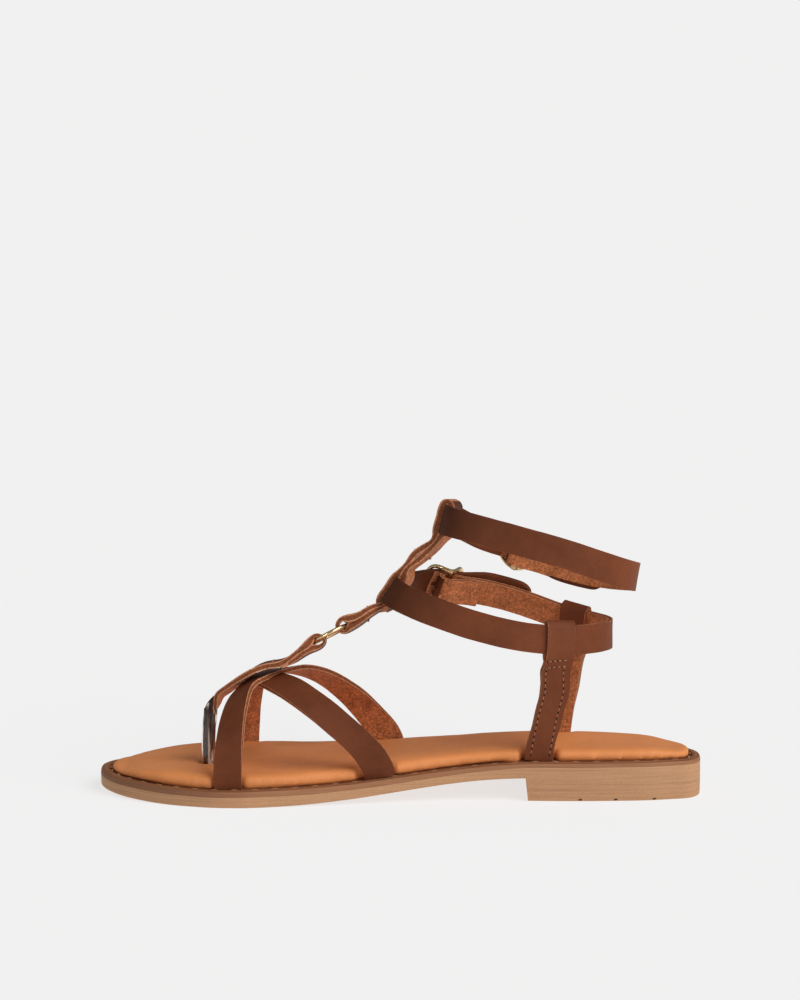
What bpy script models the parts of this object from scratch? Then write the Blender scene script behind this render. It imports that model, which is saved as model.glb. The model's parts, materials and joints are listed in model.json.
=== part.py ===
"""Flat toe post sandal: the right shoe of a pair, standing empty on its sole.

Frame, in millimetres until a mesh is made: toe towards -X, heel towards +X, the inner (medial)
side of the foot towards -Y, the outer (lateral) side towards +Y, up is +Z, the floor is Z = 0.
Every strap is one strip of leather of real thickness, swept along a short table of stations.
"""

import bpy
from collections import namedtuple
from math import cos, hypot, pi, radians, sin, sqrt
from mathutils import Vector

MM = 0.001
GAP = 0.3                        # between curved pieces that touch

# Sole
HALF_LENGTH = 127.6
TOE_RADIUS = 31.0
HEEL_RADIUS = 29.0
MIDSOLE_THICK = 3.2
MIDSOLE_THICK_HEEL = 2.5
RIM_WIDTH = 4.5                  # bare edge of the midsole round the insole
BREAST_X = 53.9                  # front face of the heel
BREAST_RUN = 1.0
EDGE_ROUND = 0.7
SOLE_STATIONS = 40

# Straps
STRAP_WIDTH = 12.2               # ankle straps and the straps down to the sole
CROSS_WIDTH = 11.7
TBAR_WIDTH = 12.0
STRAP_THICK = 2.0
PLY_THICK = 1.8
SWEEP_STEP = 3.2

# Post between the toes
POST_X = -81.0
POST_Y = -13.4
SLEEVE_OUTER = 2.9
SLEEVE_WALL = 0.55
SLEEVE_TOP = 35.0

# Metal
RING_RADIUS = 7.8                # to the middle of the wire
RING_WIRE = 1.0
BUCKLE_WIRE = 1.0
BUCKLE_BAR = 0.8
BUCKLE_HALF_LENGTH = 8.1
BUCKLE_HALF_HEIGHT = 8.4
BUCKLE_SQUARENESS = 3.0

# Plan of the sole: station along the foot, its inner edge and its outer edge.
SOLE_PLAN_COLUMNS = ("x", "medial", "lateral")
SOLE_PLAN = (
    (-119.0, -22.3, 21.0),
    (-109.0, -31.4, 28.4),
    (-99.0, -37.9, 34.6),
    (-90.0, -41.7, 39.4),
    (-77.0, -45.2, 43.8),
    (-66.0, -45.8, 45.3),
    (-50.0, -43.0, 45.6),
    (-30.0, -38.3, 42.8),
    (-10.0, -33.9, 38.4),
    (10.0, -29.4, 34.4),
    (30.0, -26.2, 31.6),
    (50.0, -25.2, 31.4),
    (66.0, -25.2, 32.2),
    (82.0, -24.6, 31.6),
    (96.0, -23.2, 28.8),
    (108.0, -21.4, 23.6),
    (117.0, -18.4, 16.6),
)
TOE_TIP_Y = 0.6
HEEL_TIP_Y = -3.0

# Side view of the sole: underside of the outsole, and top of the midsole.
SOLE_SIDE_COLUMNS = ("x", "underside", "rim")
SOLE_SIDE = (
    (-128.0, 1.6, 8.9),
    (-112.0, 0.5, 7.9),
    (-96.0, 0.0, 7.3),
    (-56.0, 0.0, 7.3),
    (-38.0, 0.5, 7.6),
    (-20.0, 2.0, 8.8),
    (0.0, 4.5, 10.9),
    (20.0, 7.1, 13.2),
    (38.0, 8.9, 15.1),
    (53.0, 9.5, 16.1),
    (75.0, 9.5, 16.3),
    (128.0, 9.5, 16.5),
)

# Padding of the insole above the rim.
INSOLE_COLUMNS = ("x", "thickness")
INSOLE_PAD = (
    (-128.0, 4.6),
    (-100.0, 5.2),
    (-50.0, 5.2),
    (10.0, 4.8),
    (60.0, 4.0),
    (128.0, 3.6),
)

# Where a strap goes down beside the insole: the insole's edge gives way by the depth.
STRAP_SEAT_COLUMNS = ("x", "side", "half_width", "depth")
STRAP_SEATS = (
    (-69.9, -1, 6.2, 2.6),
    (-69.0, 1, 6.2, 2.6),
    (-7.8, -1, 6.6, 2.6),
    (-6.6, 1, 6.6, 2.6),
    (59.2, -1, 6.3, 4.4),
    (66.0, 1, 6.3, 4.4),
)
SEAT_SHOULDER = 2.2

# Cross strap that comes up on the inner side in front and goes down on the outer side behind.
# Turn is how far the strap's face looks forward (negative) or back (positive), as a slope.
CROSS_COLUMNS = ("x", "y", "z", "turn")
CROSS_OVER = (
    (-69.9, -40.3, 8.4, 0.0),
    (-69.9, -41.2, 16.0, -0.1),
    (-69.3, -40.4, 25.0, -0.3),
    (-68.3, -37.4, 34.0, -0.5),
    (-67.0, -31.2, 41.0, -0.65),
    (-65.4, -23.4, 45.0, -0.75),
    (-62.8, -15.4, 46.8, -0.68),
    (-58.8, -7.6, 48.7, -0.42),
    (-52.0, 0.6, 50.2, -0.15),
    (-43.6, 9.4, 49.5, -0.1),
    (-34.2, 17.8, 45.4, 0.1),
    (-25.0, 24.8, 38.2, 0.2),
    (-17.0, 29.8, 29.6, 0.1),
    (-10.8, 32.6, 21.0, 0.0),
    (-7.0, 32.9, 14.4, 0.0),
    (-6.6, 32.8, 11.2, 0.0),
)
# Cross strap under it, from the outer side in front to the inner side behind.
CROSS_UNDER = (
    (-69.0, 39.8, 8.4, 0.0),
    (-68.8, 40.2, 16.0, 0.0),
    (-68.2, 38.4, 25.0, 0.0),
    (-67.0, 33.8, 34.0, -0.2),
    (-65.2, 26.8, 40.8, -0.35),
    (-62.8, 17.6, 45.0, -0.4),
    (-60.4, 7.4, 46.9, -0.3),
    (-57.6, -2.6, 47.7, -0.2),
    (-54.0, -10.8, 48.4, -0.1),
    (-47.6, -18.4, 47.6, 0.0),
    (-38.6, -24.6, 43.6, 0.0),
    (-29.0, -29.0, 37.4, 0.0),
    (-20.0, -31.6, 29.8, 0.0),
    (-12.8, -32.2, 22.4, 0.0),
    (-8.8, -31.0, 15.4, 0.0),
    (-7.6, -29.6, 12.0, 0.0),
)
INSTEP_AXIS_Z = 20.0             # the straps face away from this line along the foot
INSTEP_AXIS_Y = -1.0

# Lower part of the T-bar: post, outer ply, fold round the ring, and the ply that comes back.
TBAR_COLUMNS = ("x", "y", "z", "roll", "width", "thick")
TBAR_LOWER = (
    (-81.0, -13.4, 7.8, 0.0, 3.0, 1.8),
    (-81.0, -13.4, 20.0, 0.0, 3.0, 1.8),
    (-81.0, -13.4, 31.0, 0.0, 3.0, 1.8),
    (-80.8, -13.4, 35.4, 8.0, 3.2, 1.8),
    (-77.8, -13.2, 40.2, 24.0, 6.6, 1.8),
    (-72.0, -12.4, 44.7, 20.0, 11.0, 1.8),
    (-66.0, -11.0, 49.3, 13.0, 12.0, 1.8),
    (-60.8, -9.8, 52.7, 7.0, 12.0, 1.8),
    (-56.0, -8.8, 54.6, 4.0, 12.0, 1.8),
    (-51.0, -7.9, 55.3, 4.0, 12.0, 1.8),
    (-46.0, -7.0, 57.2, 9.0, 12.0, 1.7),
    (-41.6, -6.2, 60.6, 12.0, 11.6, 1.6),
    (-37.8, -5.7, 64.9, 12.0, 10.4, 1.4),
    (-34.4, -5.4, 67.0, 12.0, 9.4, 1.4),
    (-31.2, -5.2, 64.4, 12.0, 9.4, 1.4),
    (-33.2, -5.3, 61.4, 12.0, 9.6, 1.4),
    (-37.0, -5.7, 60.0, 12.0, 10.8, 1.6),
    (-40.2, -6.1, 58.5, 12.0, 11.6, 1.7),
    (-44.9, -6.9, 55.3, 9.0, 12.0, 1.7),
    (-50.2, -7.8, 53.3, 4.0, 12.0, 1.0),
)

# Upper part of the T-bar round the ring: the ply that comes back, the fold and the outer ply.
TBAR_UPPER = (
    (-12.4, -2.8, 74.8, 12.0, 12.0, 1.6),
    (-16.2, -3.2, 71.7, 12.0, 11.6, 1.6),
    (-20.0, -3.7, 69.2, 12.0, 10.8, 1.4),
    (-23.8, -4.2, 67.6, 12.0, 9.4, 1.4),
    (-26.4, -4.5, 70.2, 12.0, 9.4, 1.4),
    (-24.6, -4.3, 73.6, 12.0, 9.6, 1.4),
    (-20.6, -3.8, 74.6, 12.0, 10.8, 1.5),
    (-16.8, -3.2, 75.4, 12.0, 11.6, 1.6),
    (-13.0, -2.6, 77.6, 13.0, 12.0, 1.6),
)

# The T-bar round an ankle strap: distance along the T-bar, and how far its ply stands out.
TUNNEL_COLUMNS = ("along", "out")
TUNNEL_OUTER = ((-10.0, 1.5), (-6.8, 2.5), (0.0, 2.35), (6.2, 2.3), (8.8, 0.9))
TUNNEL_TOP = ((-9.0, 1.2), (-6.2, 2.3), (0.0, 2.3), (5.6, 2.3), (7.35, 1.2), (7.35, -1.7), (5.6, -3.3),
              (0.0, -3.3), (-6.2, -3.2), (-9.2, -0.9))
TUNNEL_INNER = ((9.2, -1.1), (6.2, -3.2), (0.0, -3.3), (-6.2, -3.2), (-9.4, -3.3))
TBAR_RETURN_END = (-9.2, -1.1)
TBAR_BETWEEN = (9.6, 0.9, 100.4)  # middle of the two plies between the ankle straps
TBAR_PLY_THICK = 1.6
TBAR_PLY_OFFSETS = (1.5, -0.95)

RING_CENTRE = (-29.0, -4.8, 67.2)
RING_SLOPE = 28.0                # degrees, rising towards the ankle
RING_ROLL = 12.0                 # degrees, turned towards the outer side

# The two ankle straps: once round the ankle from the front, over the inner side to the heel.
# Lean is the angle, in degrees, by which the strap's top edge leans in towards the leg.
ANKLE_COLUMNS = ("x", "y", "z", "lean")
ANKLE_LOWER = (
    (-2.0, 0.6, 86.4, 33.0),
    (-3.8, -6.6, 86.4, 32.0),
    (0.0, -14.0, 84.9, 29.0),
    (8.4, -19.6, 82.0, 24.0),
    (20.0, -23.6, 78.2, 18.0),
    (36.0, -26.3, 73.6, 13.0),
    (52.0, -26.4, 70.1, 10.0),
    (66.0, -24.2, 68.4, 8.0),
    (78.6, -18.4, 67.9, 3.0),
    (86.8, -8.6, 67.7, 0.0),
    (89.2, 1.4, 67.4, 0.0),
    (87.0, 11.6, 67.2, 4.0),
    (79.6, 21.2, 67.8, 12.0),
    (67.0, 27.4, 70.4, 22.0),
    (52.0, 30.0, 75.4, 26.0),
    (36.0, 29.6, 79.8, 27.0),
    (22.0, 26.2, 82.4, 27.0),
    (9.0, 19.0, 84.7, 29.0),
    (0.2, 9.2, 86.2, 32.0),
)
ANKLE_UPPER = (
    (19.8, 1.4, 116.0, 14.0),
    (18.7, -5.4, 116.4, 14.0),
    (21.6, -12.0, 116.2, 14.0),
    (30.4, -18.0, 114.6, 14.0),
    (44.0, -22.6, 111.6, 12.0),
    (60.0, -24.6, 107.6, 9.0),
    (75.0, -23.4, 103.0, 4.0),
    (87.2, -18.8, 98.2, -2.0),
    (96.6, -9.6, 94.0, -8.0),
    (99.8, 2.0, 91.4, -10.0),
    (96.6, 14.0, 89.8, -6.0),
    (87.2, 22.6, 89.4, 2.0),
    (74.0, 27.2, 91.2, 10.0),
    (60.0, 28.6, 95.2, 14.0),
    (46.0, 26.6, 100.4, 16.0),
    (33.4, 20.6, 106.6, 16.0),
    (22.8, 9.8, 113.8, 14.0),
)

# Buckle end of an ankle strap: distance in front of the bar, and distance out from the strap's line.
BUCKLE_COLUMNS = ("along", "out")
FOLD_ROUND_BAR = ((-14.0, 0.0), (-9.0, 0.0), (-4.0, 0.6), (0.0, 1.3), (3.4, 0.6), (4.8, -1.2), (3.4, -3.0),
                  (0.0, -3.7), (-4.0, -3.0), (-9.0, -2.1), (-15.0, -2.1))
BAR_OUT = -0.7
RAIL_OUT = 5.5
TAIL_THROUGH_BUCKLE = ((-37.0, 2.3), (-20.0, 2.3), (-14.0, 2.3), (-8.0, 2.4), (0.0, 3.5), (8.0, 2.5),
                       (14.0, 1.1), (20.0, 0.0))
TAIL_TIP = ((0.0, 4.6), (1.2, 8.4), (3.4, 11.6))     # distance from the tip, width
BUCKLES = (("lower", 18.4, 2.4), ("upper", 51.0, -2.4))  # strap, X of the bar, rise of the tail

# Straps from the sole up round the lower ankle strap, on each side: middle between the two plies.
QUARTER_COLUMNS = ("x", "y", "z")
QUARTER_MEDIAL = (
    (59.2, -18.9, 17.4),
    (60.3, -19.8, 26.0),
    (61.9, -21.0, 36.0),
    (63.8, -22.2, 46.0),
    (65.9, -23.2, 54.0),
)
QUARTER_LATERAL = (
    (66.2, 25.8, 17.4),
    (67.2, 26.4, 26.0),
    (68.7, 26.9, 36.0),
    (69.8, 27.0, 46.0),
    (71.6, 26.4, 54.0),
)
QUARTER_LOOP_X = (68.0, 74.4)    # where each crosses the ankle strap: inner side, outer side
QUARTER_PLY_OFFSET = 1.05
QUARTER_WIDTH = 11.8
LOOP_THICK = 1.5
LOOP_COLUMNS = ("along", "out")
QUARTER_LOOP = ((-9.6, -1.5), (-6.8, -3.0), (0.0, -3.1), (5.4, -3.05), (7.4, -1.9),
                (7.4, 1.3), (5.4, 2.2), (0.0, 2.1), (-6.8, 2.1), (-9.6, 1.05))

FOLD_THICK = 1.6
PRONG_WIRE = 0.5
PRONG_COLUMNS = ("along", "out")
PRONG_ROUND_BAR = 1.5            # radius of the prong's eye
PRONG_REACH = ((-0.7, 1.6), (0.2, 4.0), (1.8, 5.4), (4.4, 6.6), (8.1, 7.25), (9.6, 7.15))
SLOT_IN_FOLD = ((-2.6, 6.4), (-3.1, 2.3))            # along, out
SLOT_IN_TAIL = ((-1.8, 2.8), (2.2, 5.6))
SLOT_HALF_WIDTH = 0.9

Station = namedtuple("Station", "place across width thick")
Spot = namedtuple("Spot", "place forward up out")


# ---------------------------------------------------------------- curves

def hermite(start, end, start_slope, end_slope, length, t):
    """Cubic from start to end over a length, at the fraction t."""
    return ((2 * t**3 - 3 * t**2 + 1) * start + (t**3 - 2 * t**2 + t) * length * start_slope
            + (-2 * t**3 + 3 * t**2) * end + (t**3 - t**2) * length * end_slope)


def slopes_at(values, lengths, closed):
    """Slope at each value: that of the parabola through it and its two neighbours."""
    count = len(values)
    result = []
    for i in range(count):
        before = (values[i] - values[i - 1]) / lengths[i - 1] if closed or i > 0 else None
        after = (values[(i + 1) % count] - values[i]) / lengths[i] if closed or i < count - 1 else None
        if before is None or after is None:
            result.append(after if before is None else before)
            continue
        gone, ahead = lengths[i - 1], lengths[i]
        result.append((before * ahead + after * gone) / (gone + ahead))
    return result


def table_curve(keys, values):
    """A function through a table: its value at any key between the first and the last."""
    lengths = [b - a for a, b in zip(keys, keys[1:])]
    slopes = slopes_at(values, lengths, closed=False)

    def value(key):
        i = max(0, min(len(lengths) - 1, sum(1 for k in keys if k <= key) - 1))
        t = (key - keys[i]) / lengths[i]
        return hermite(values[i], values[i + 1], slopes[i], slopes[i + 1], lengths[i], t)
    return value


def column(rows, index):
    return [row[index] for row in rows]


def smooth_rows(rows, closed=False, step=SWEEP_STEP):
    """Rows read closer together from a smooth curve; the first three numbers are X, Y and Z."""
    count = len(rows)
    spans = count if closed else count - 1
    places = [Vector(row[:3]) for row in rows]
    lengths = [(places[(i + 1) % count] - places[i]).length for i in range(spans)]
    columns = [[row[k] for row in rows] for k in range(len(rows[0]))]
    slopes = [slopes_at(values, lengths, closed) for values in columns]
    result = []
    for i in range(spans):
        j = (i + 1) % count
        parts = max(2, round(lengths[i] / step))
        for part in range(parts):
            result.append([hermite(values[i], values[j], slope[i], slope[j], lengths[i], part / parts)
                           for values, slope in zip(columns, slopes)])
    if not closed:
        result.append(list(rows[-1]))
    return result


# ---------------------------------------------------------------- meshes

def material(name, colour, roughness, metallic=0.0):
    made = bpy.data.materials.new(name)
    made.use_nodes = True
    shader = made.node_tree.nodes["Principled BSDF"]
    shader.inputs["Base Color"].default_value = (*colour, 1.0)
    shader.inputs["Roughness"].default_value = roughness
    shader.inputs["Metallic"].default_value = metallic
    made.diffuse_color = (*colour, 1.0)
    return made


def mesh_object(name, points, faces, finish, cutter=False):
    """A mesh object from points in millimetres."""
    mesh = bpy.data.meshes.new(name)
    mesh.from_pydata([Vector(point) * MM for point in points], [], faces)
    mesh.validate()
    mesh.materials.append(finish)
    made = bpy.data.objects.new(name, mesh)
    bpy.context.scene.collection.objects.link(made)
    if cutter:
        made.hide_render = True
        made.display_type = "WIRE"
    return made


def combine(target, other, operation):
    """Joins the other, a hidden shape, to the target or cuts the target with it."""
    step = target.modifiers.new(other.name, "BOOLEAN")
    step.object = other
    step.operation = operation
    step.solver = "EXACT"


def loft(name, rings, finish, closed=False, cutter=False):
    """Closed solid through rings of points that run anticlockwise seen from the last ring."""
    size = len(rings[0])
    points = [point for ring in rings for point in ring]
    faces = []
    for i in range(len(rings) if closed else len(rings) - 1):
        low, high = i * size, (i + 1) % len(rings) * size
        for j in range(size):
            k = (j + 1) % size
            faces.append((low + j, low + k, high + k, high + j))
    if not closed:
        last = (len(rings) - 1) * size
        faces.append(tuple(reversed(range(size))))
        faces.append(tuple(range(last, last + size)))
    return mesh_object(name, points, faces, finish, cutter)


def directions(places, closed):
    """Unit tangent at each place."""
    count = len(places)
    result = []
    for i in range(count):
        ahead = places[(i + 1) % count] if closed else places[min(i + 1, count - 1)]
        behind = places[i - 1] if closed or i > 0 else places[0]
        result.append((ahead - behind).normalized())
    return result


def squared(vector, axis):
    """The vector's part square to an axis, as a unit vector."""
    return (vector - vector.dot(axis) * axis).normalized()


def band(name, stations, finish, closed=False, cutter=False):
    """A strap: a rectangle swept along its stations, its smooth side at forward x across."""
    forwards = directions([station.place for station in stations], closed)
    rings = []
    for station, forward in zip(stations, forwards):
        across = squared(station.across, forward) * station.width / 2
        out = forward.cross(across).normalized() * station.thick / 2
        rings.append([station.place + across * a + out * o
                      for a, o in ((-1, -1), (1, -1), (1, 1), (-1, 1))])
    return loft(name, rings, finish, closed, cutter)


def wire(name, places, radius, sides, hint, finish, closed=False, cutter=False):
    """A round wire along a line of places; the hint is never along the wire."""
    rings = []
    for place, forward in zip(places, directions(places, closed)):
        first = squared(hint, forward)
        second = forward.cross(first)
        angles = [2 * pi * k / sides for k in range(sides)]
        rings.append([place + (first * cos(a) + second * sin(a)) * radius for a in angles])
    return loft(name, rings, finish, closed, cutter)


def box(name, spot, along, out, half_width, finish):
    """A hidden block at a spot of a strap, for cutting a slot."""
    corners = [(a, w) for a, w in ((along[0], out[0]), (along[1], out[0]), (along[1], out[1]),
                                   (along[0], out[1]))]
    rings = [[spot.place + spot.forward * a + spot.out * w + spot.up * side * half_width
              for a, w in corners] for side in (1, -1)]
    return loft(name, rings, finish, cutter=True)


# ---------------------------------------------------------------- sole

def swelling(x):
    """Half width of an ellipse of the sole's length, as a fraction: round ends come from it."""
    return sqrt(max(0.0, 1.0 - (x / HALF_LENGTH)**2))


PLAN_KEYS = [-HALF_LENGTH, *column(SOLE_PLAN, 0), HALF_LENGTH]
plan_centre = table_curve(PLAN_KEYS, [TOE_TIP_Y, *[(row[1] + row[2]) / 2 for row in SOLE_PLAN], HEEL_TIP_Y])
plan_fullness = table_curve(PLAN_KEYS, [
    sqrt(TOE_RADIUS * HALF_LENGTH),
    *[(row[2] - row[1]) / 2 / swelling(row[0]) for row in SOLE_PLAN],
    sqrt(HEEL_RADIUS * HALF_LENGTH)])
underside_height = table_curve(column(SOLE_SIDE, 0), column(SOLE_SIDE, 1))
rim_height = table_curve(column(SOLE_SIDE, 0), column(SOLE_SIDE, 2))
insole_pad = table_curve(column(INSOLE_PAD, 0), column(INSOLE_PAD, 1))


def bottom_height(x):
    """Underside of the outsole: the waist, or the floor under the heel."""
    return 0.0 if x > BREAST_X + BREAST_RUN / 2 else max(0.0, underside_height(x))


def midsole_bottom(x):
    share = min(1.0, max(0.0, x / BREAST_X))
    return rim_height(x) - MIDSOLE_THICK - share * (MIDSOLE_THICK_HEEL - MIDSOLE_THICK)


def sole_stations():
    """X of each section: close together at the round ends, and at each step of an edge."""
    steps = [BREAST_X, BREAST_X + BREAST_RUN]
    for x, side, half_width, depth in STRAP_SEATS:
        steps += [x - half_width - SEAT_SHOULDER, x - half_width, x + half_width, x + half_width + SEAT_SHOULDER]
    first = 0.045
    regular = [-HALF_LENGTH * cos(first + (pi - 2 * first) * i / (SOLE_STATIONS - 1))
               for i in range(SOLE_STATIONS)]
    near = 1.6
    kept = [x for x in regular if all(abs(x - step) > near for step in steps) or abs(x) > HALF_LENGTH - 1]
    return sorted(kept + merged(steps, 0.9))


def merged(numbers, near):
    """The numbers in order, without those that lie near the one before."""
    result = []
    for number in sorted(numbers):
        if not result or number - result[-1] > near:
            result.append(number)
    return result


STATIONS = sole_stations()


def outline():
    """The sole's plan as (x, y, side): the inner edge from toe to heel, then the outer one back."""
    half = [(x, plan_fullness(x) * swelling(x)) for x in STATIONS]
    inner = [(x, plan_centre(x) - width, -1) for x, width in half]
    outer = [(x, plan_centre(x) + width, 1) for x, width in reversed(half)]
    return inner + outer


def seat_depth(x, side):
    """How far the insole's edge stands back behind a strap."""
    deepest = 0.0
    for at, on, half_width, depth in STRAP_SEATS:
        past = abs(x - at) - half_width
        if on == side and past < SEAT_SHOULDER:
            share = 1.0 if past < 0.01 else 1.0 - past / SEAT_SHOULDER
            deepest = max(deepest, depth * share)
    return deepest


def plan_ring(inset, height):
    """The outline moved in by inset(x, side), at height(x)."""
    points = outline()
    ring = []
    for i, (x, y, side) in enumerate(points):
        before, after = points[i - 1], points[(i + 1) % len(points)]
        length = hypot(after[0] - before[0], after[1] - before[1])
        inward = ((before[1] - after[1]) / length, (after[0] - before[0]) / length)
        move = inset(x, side)
        ring.append(Vector((x + inward[0] * move, y + inward[1] * move, height(x))))
    return ring


def sole_layer(name, rings, finish):
    """A layer of the sole: its rings, closed by strips from the inner to the outer edge."""
    size = len(rings[0])
    points = [point for ring in rings for point in ring]
    faces = []
    for i in range(len(rings) - 1):
        low, high = i * size, (i + 1) * size
        for j in range(size):
            k = (j + 1) % size
            faces.append((low + j, low + k, high + k, high + j))
    top = (len(rings) - 1) * size
    for j in range(size // 2 - 1):
        far = size - 1 - j
        faces.append((top + j, top + j + 1, top + far - 1, top + far))
        faces.append((far, far - 1, j + 1, j))
    return mesh_object(name, points, faces, finish)


def constant(value):
    return lambda *_: value


def make_outsole(finish):
    def from_floor(rise):
        return lambda x: bottom_height(x) + rise
    rings = [
        plan_ring(constant(EDGE_ROUND), bottom_height),
        plan_ring(constant(EDGE_ROUND * 0.3), from_floor(EDGE_ROUND * 0.3)),
        plan_ring(constant(0.0), from_floor(EDGE_ROUND)),
        plan_ring(constant(0.0), lambda x: midsole_bottom(x) - GAP),
    ]
    return sole_layer("outsole", rings, finish)


def make_midsole(finish):
    def below_rim(drop):
        return lambda x: rim_height(x) - drop
    rings = [
        plan_ring(constant(0.0), midsole_bottom),
        plan_ring(constant(0.0), below_rim(1.1)),
        plan_ring(constant(0.4), below_rim(0.35)),
        plan_ring(constant(1.3), below_rim(0.0)),
    ]
    return sole_layer("midsole", rings, finish)


# Section of the insole's edge: distance in from its widest line, and share of its height.
INSOLE_EDGE = ((0.9, 0.0), (0.2, 0.2), (0.0, 0.42), (0.6, 0.68), (2.2, 0.86), (5.0, 0.96), (9.5, 1.0))
SEAT_REACH = 9.5


def make_insole(finish):
    rings = []
    for inwards, share in INSOLE_EDGE:
        def inset(x, side, inwards=inwards):
            return RIM_WIDTH + inwards + seat_depth(x, side) * (1.0 - inwards / SEAT_REACH)

        def height(x, share=share):
            return rim_height(x) + GAP + share * (insole_pad(x) - GAP)
        rings.append(plan_ring(inset, height))
    made = sole_layer("insole", rings, finish)
    floor = rim_height(POST_X)
    hole = wire("insole_hole", [Vector((POST_X, POST_Y, floor - 3.0)), Vector((POST_X, POST_Y, floor + 9.0))],
                SLEEVE_OUTER + GAP, 16, Vector((1, 0, 0)), finish, cutter=True)
    combine(made, hole, "DIFFERENCE")
    return made


# ---------------------------------------------------------------- straps over the foot

def cross_stations(rows):
    """Stations of a cross strap, which faces away from the line along the middle of the foot."""
    stations = []
    samples = smooth_rows(rows, step=4.0)
    places = [Vector(row[:3]) for row in samples]
    for sample, place, forward in zip(samples, places, directions(places, closed=False)):
        out = Vector((0.0, place.y - INSTEP_AXIS_Y, max(0.0, place.z - INSTEP_AXIS_Z)))
        out.x = sample[3] * out.length
        stations.append(Station(place, out.cross(forward), CROSS_WIDTH, STRAP_THICK))
    return stations


def make_cross_straps(finish):
    over = band("cross_straps", cross_stations(CROSS_OVER), finish)
    under = band("cross_straps_under", cross_stations(CROSS_UNDER), finish, cutter=True)
    combine(over, under, "UNION")
    return over


def tbar_rows(table):
    """A T-bar table with its roll turned into the direction across the strap."""
    rows = []
    for x, y, z, roll, width, thick in table:
        rows.append((x, y, z, 0.0, cos(radians(roll)), -sin(radians(roll)), width, thick))
    return rows


def rows_to_stations(rows, step=SWEEP_STEP):
    return [Station(Vector(row[:3]), Vector(row[3:6]), row[6], row[7]) for row in smooth_rows(rows, step=step)]


# ---------------------------------------------------------------- ankle straps

class AnkleLine:
    """The closed line that an ankle strap follows, read by distance from its first row."""

    def __init__(self, table):
        self.samples = smooth_rows(table, closed=True, step=2.0)
        self.places = [Vector(row[:3]) for row in self.samples]
        self.forwards = directions(self.places, closed=True)
        count = len(self.places)
        self.starts = [0.0]
        for i in range(count):
            self.starts.append(self.starts[-1] + (self.places[(i + 1) % count] - self.places[i]).length)
        self.length = self.starts[-1]

    def spot(self, distance):
        """Place, and the directions forward, up the strap and out of the loop, at a distance."""
        distance %= self.length
        i = sum(1 for start in self.starts if start <= distance) - 1
        j = (i + 1) % len(self.places)
        t = (distance - self.starts[i]) / (self.starts[i + 1] - self.starts[i])
        place = self.places[i].lerp(self.places[j], t)
        forward = self.forwards[i].lerp(self.forwards[j], t).normalized()
        lean = radians(self.samples[i][3] * (1 - t) + self.samples[j][3] * t)
        upright = squared(Vector((0, 0, 1)), forward)
        level = forward.cross(upright)
        up = cos(lean) * upright - sin(lean) * level
        return Spot(place, forward, up, forward.cross(up))

    def distance_at(self, x, side):
        """Distance along the line to where it passes X on one side of the foot."""
        best = None
        for i, place in enumerate(self.places):
            if place.y * side > 0 and (best is None or abs(place.x - x) < abs(self.places[best].x - x)):
                best = i
        return self.starts[best]


def offset_row(spot, up, out, across, width, thick):
    """A row beside a spot of an ankle strap."""
    place = spot.place + spot.up * up + spot.out * out
    return (*place, *across, width, thick)


def make_ankle_strap(name, line, bar, tail_rise, finish):
    """One strip: its tail, through the buckle, round the ankle, and folded round the buckle's bar."""
    stations = []
    tail_start = bar + TAIL_THROUGH_BUCKLE[0][0]
    out_at = table_curve(column(TAIL_THROUGH_BUCKLE, 0), column(TAIL_THROUGH_BUCKLE, 1))
    merge = TAIL_THROUGH_BUCKLE[-1][0]
    for past, width in TAIL_TIP:
        stations.append(tail_station(line, bar, tail_start + past, out_at, width, tail_rise))
    distance = tail_start + TAIL_TIP[-1][0] + 2.4
    while distance < bar + merge:
        stations.append(tail_station(line, bar, distance, out_at, STRAP_WIDTH, tail_rise))
        distance += 2.4
    last = bar + line.length + FOLD_ROUND_BAR[0][0]
    plain = round((last - distance) / SWEEP_STEP)
    for i in range(plain):
        spot = line.spot(distance + (last - distance) * i / plain)
        stations.append(Station(spot.place, spot.up, STRAP_WIDTH, STRAP_THICK))
    fold = []
    for i, (along, out) in enumerate(FOLD_ROUND_BAR):
        spot = line.spot(bar + along)
        fold.append(offset_row(spot, 0.0, out, spot.up, STRAP_WIDTH, STRAP_THICK if i == 0 else FOLD_THICK))
    stations += rows_to_stations(fold, step=2.4)
    strap = band(name, stations, finish)
    spot = line.spot(bar)
    for label, (along, out) in (("fold", SLOT_IN_FOLD), ("tail", SLOT_IN_TAIL)):
        combine(strap, box(name + "_slot_" + label, spot, along, out, SLOT_HALF_WIDTH, finish), "DIFFERENCE")
    return strap


def tail_station(line, bar, distance, out_at, width, tail_rise):
    spot = line.spot(distance)
    behind = min(1.0, max(0.0, (bar - distance - 6.0) / 12.0))
    place = spot.place + spot.out * out_at(distance - bar) + spot.up * tail_rise * behind
    return Station(place, spot.up, width, STRAP_THICK)


# ---------------------------------------------------------------- T-bar

def tunnel_rows(spot, table):
    """Rows of the T-bar where it passes over or under an ankle strap."""
    return [offset_row(spot, along, out, -spot.forward, TBAR_WIDTH, TBAR_PLY_THICK) for along, out in table]


def make_tbar_lower(finish):
    return band("tbar_lower", rows_to_stations(tbar_rows(TBAR_LOWER)), finish)


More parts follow.
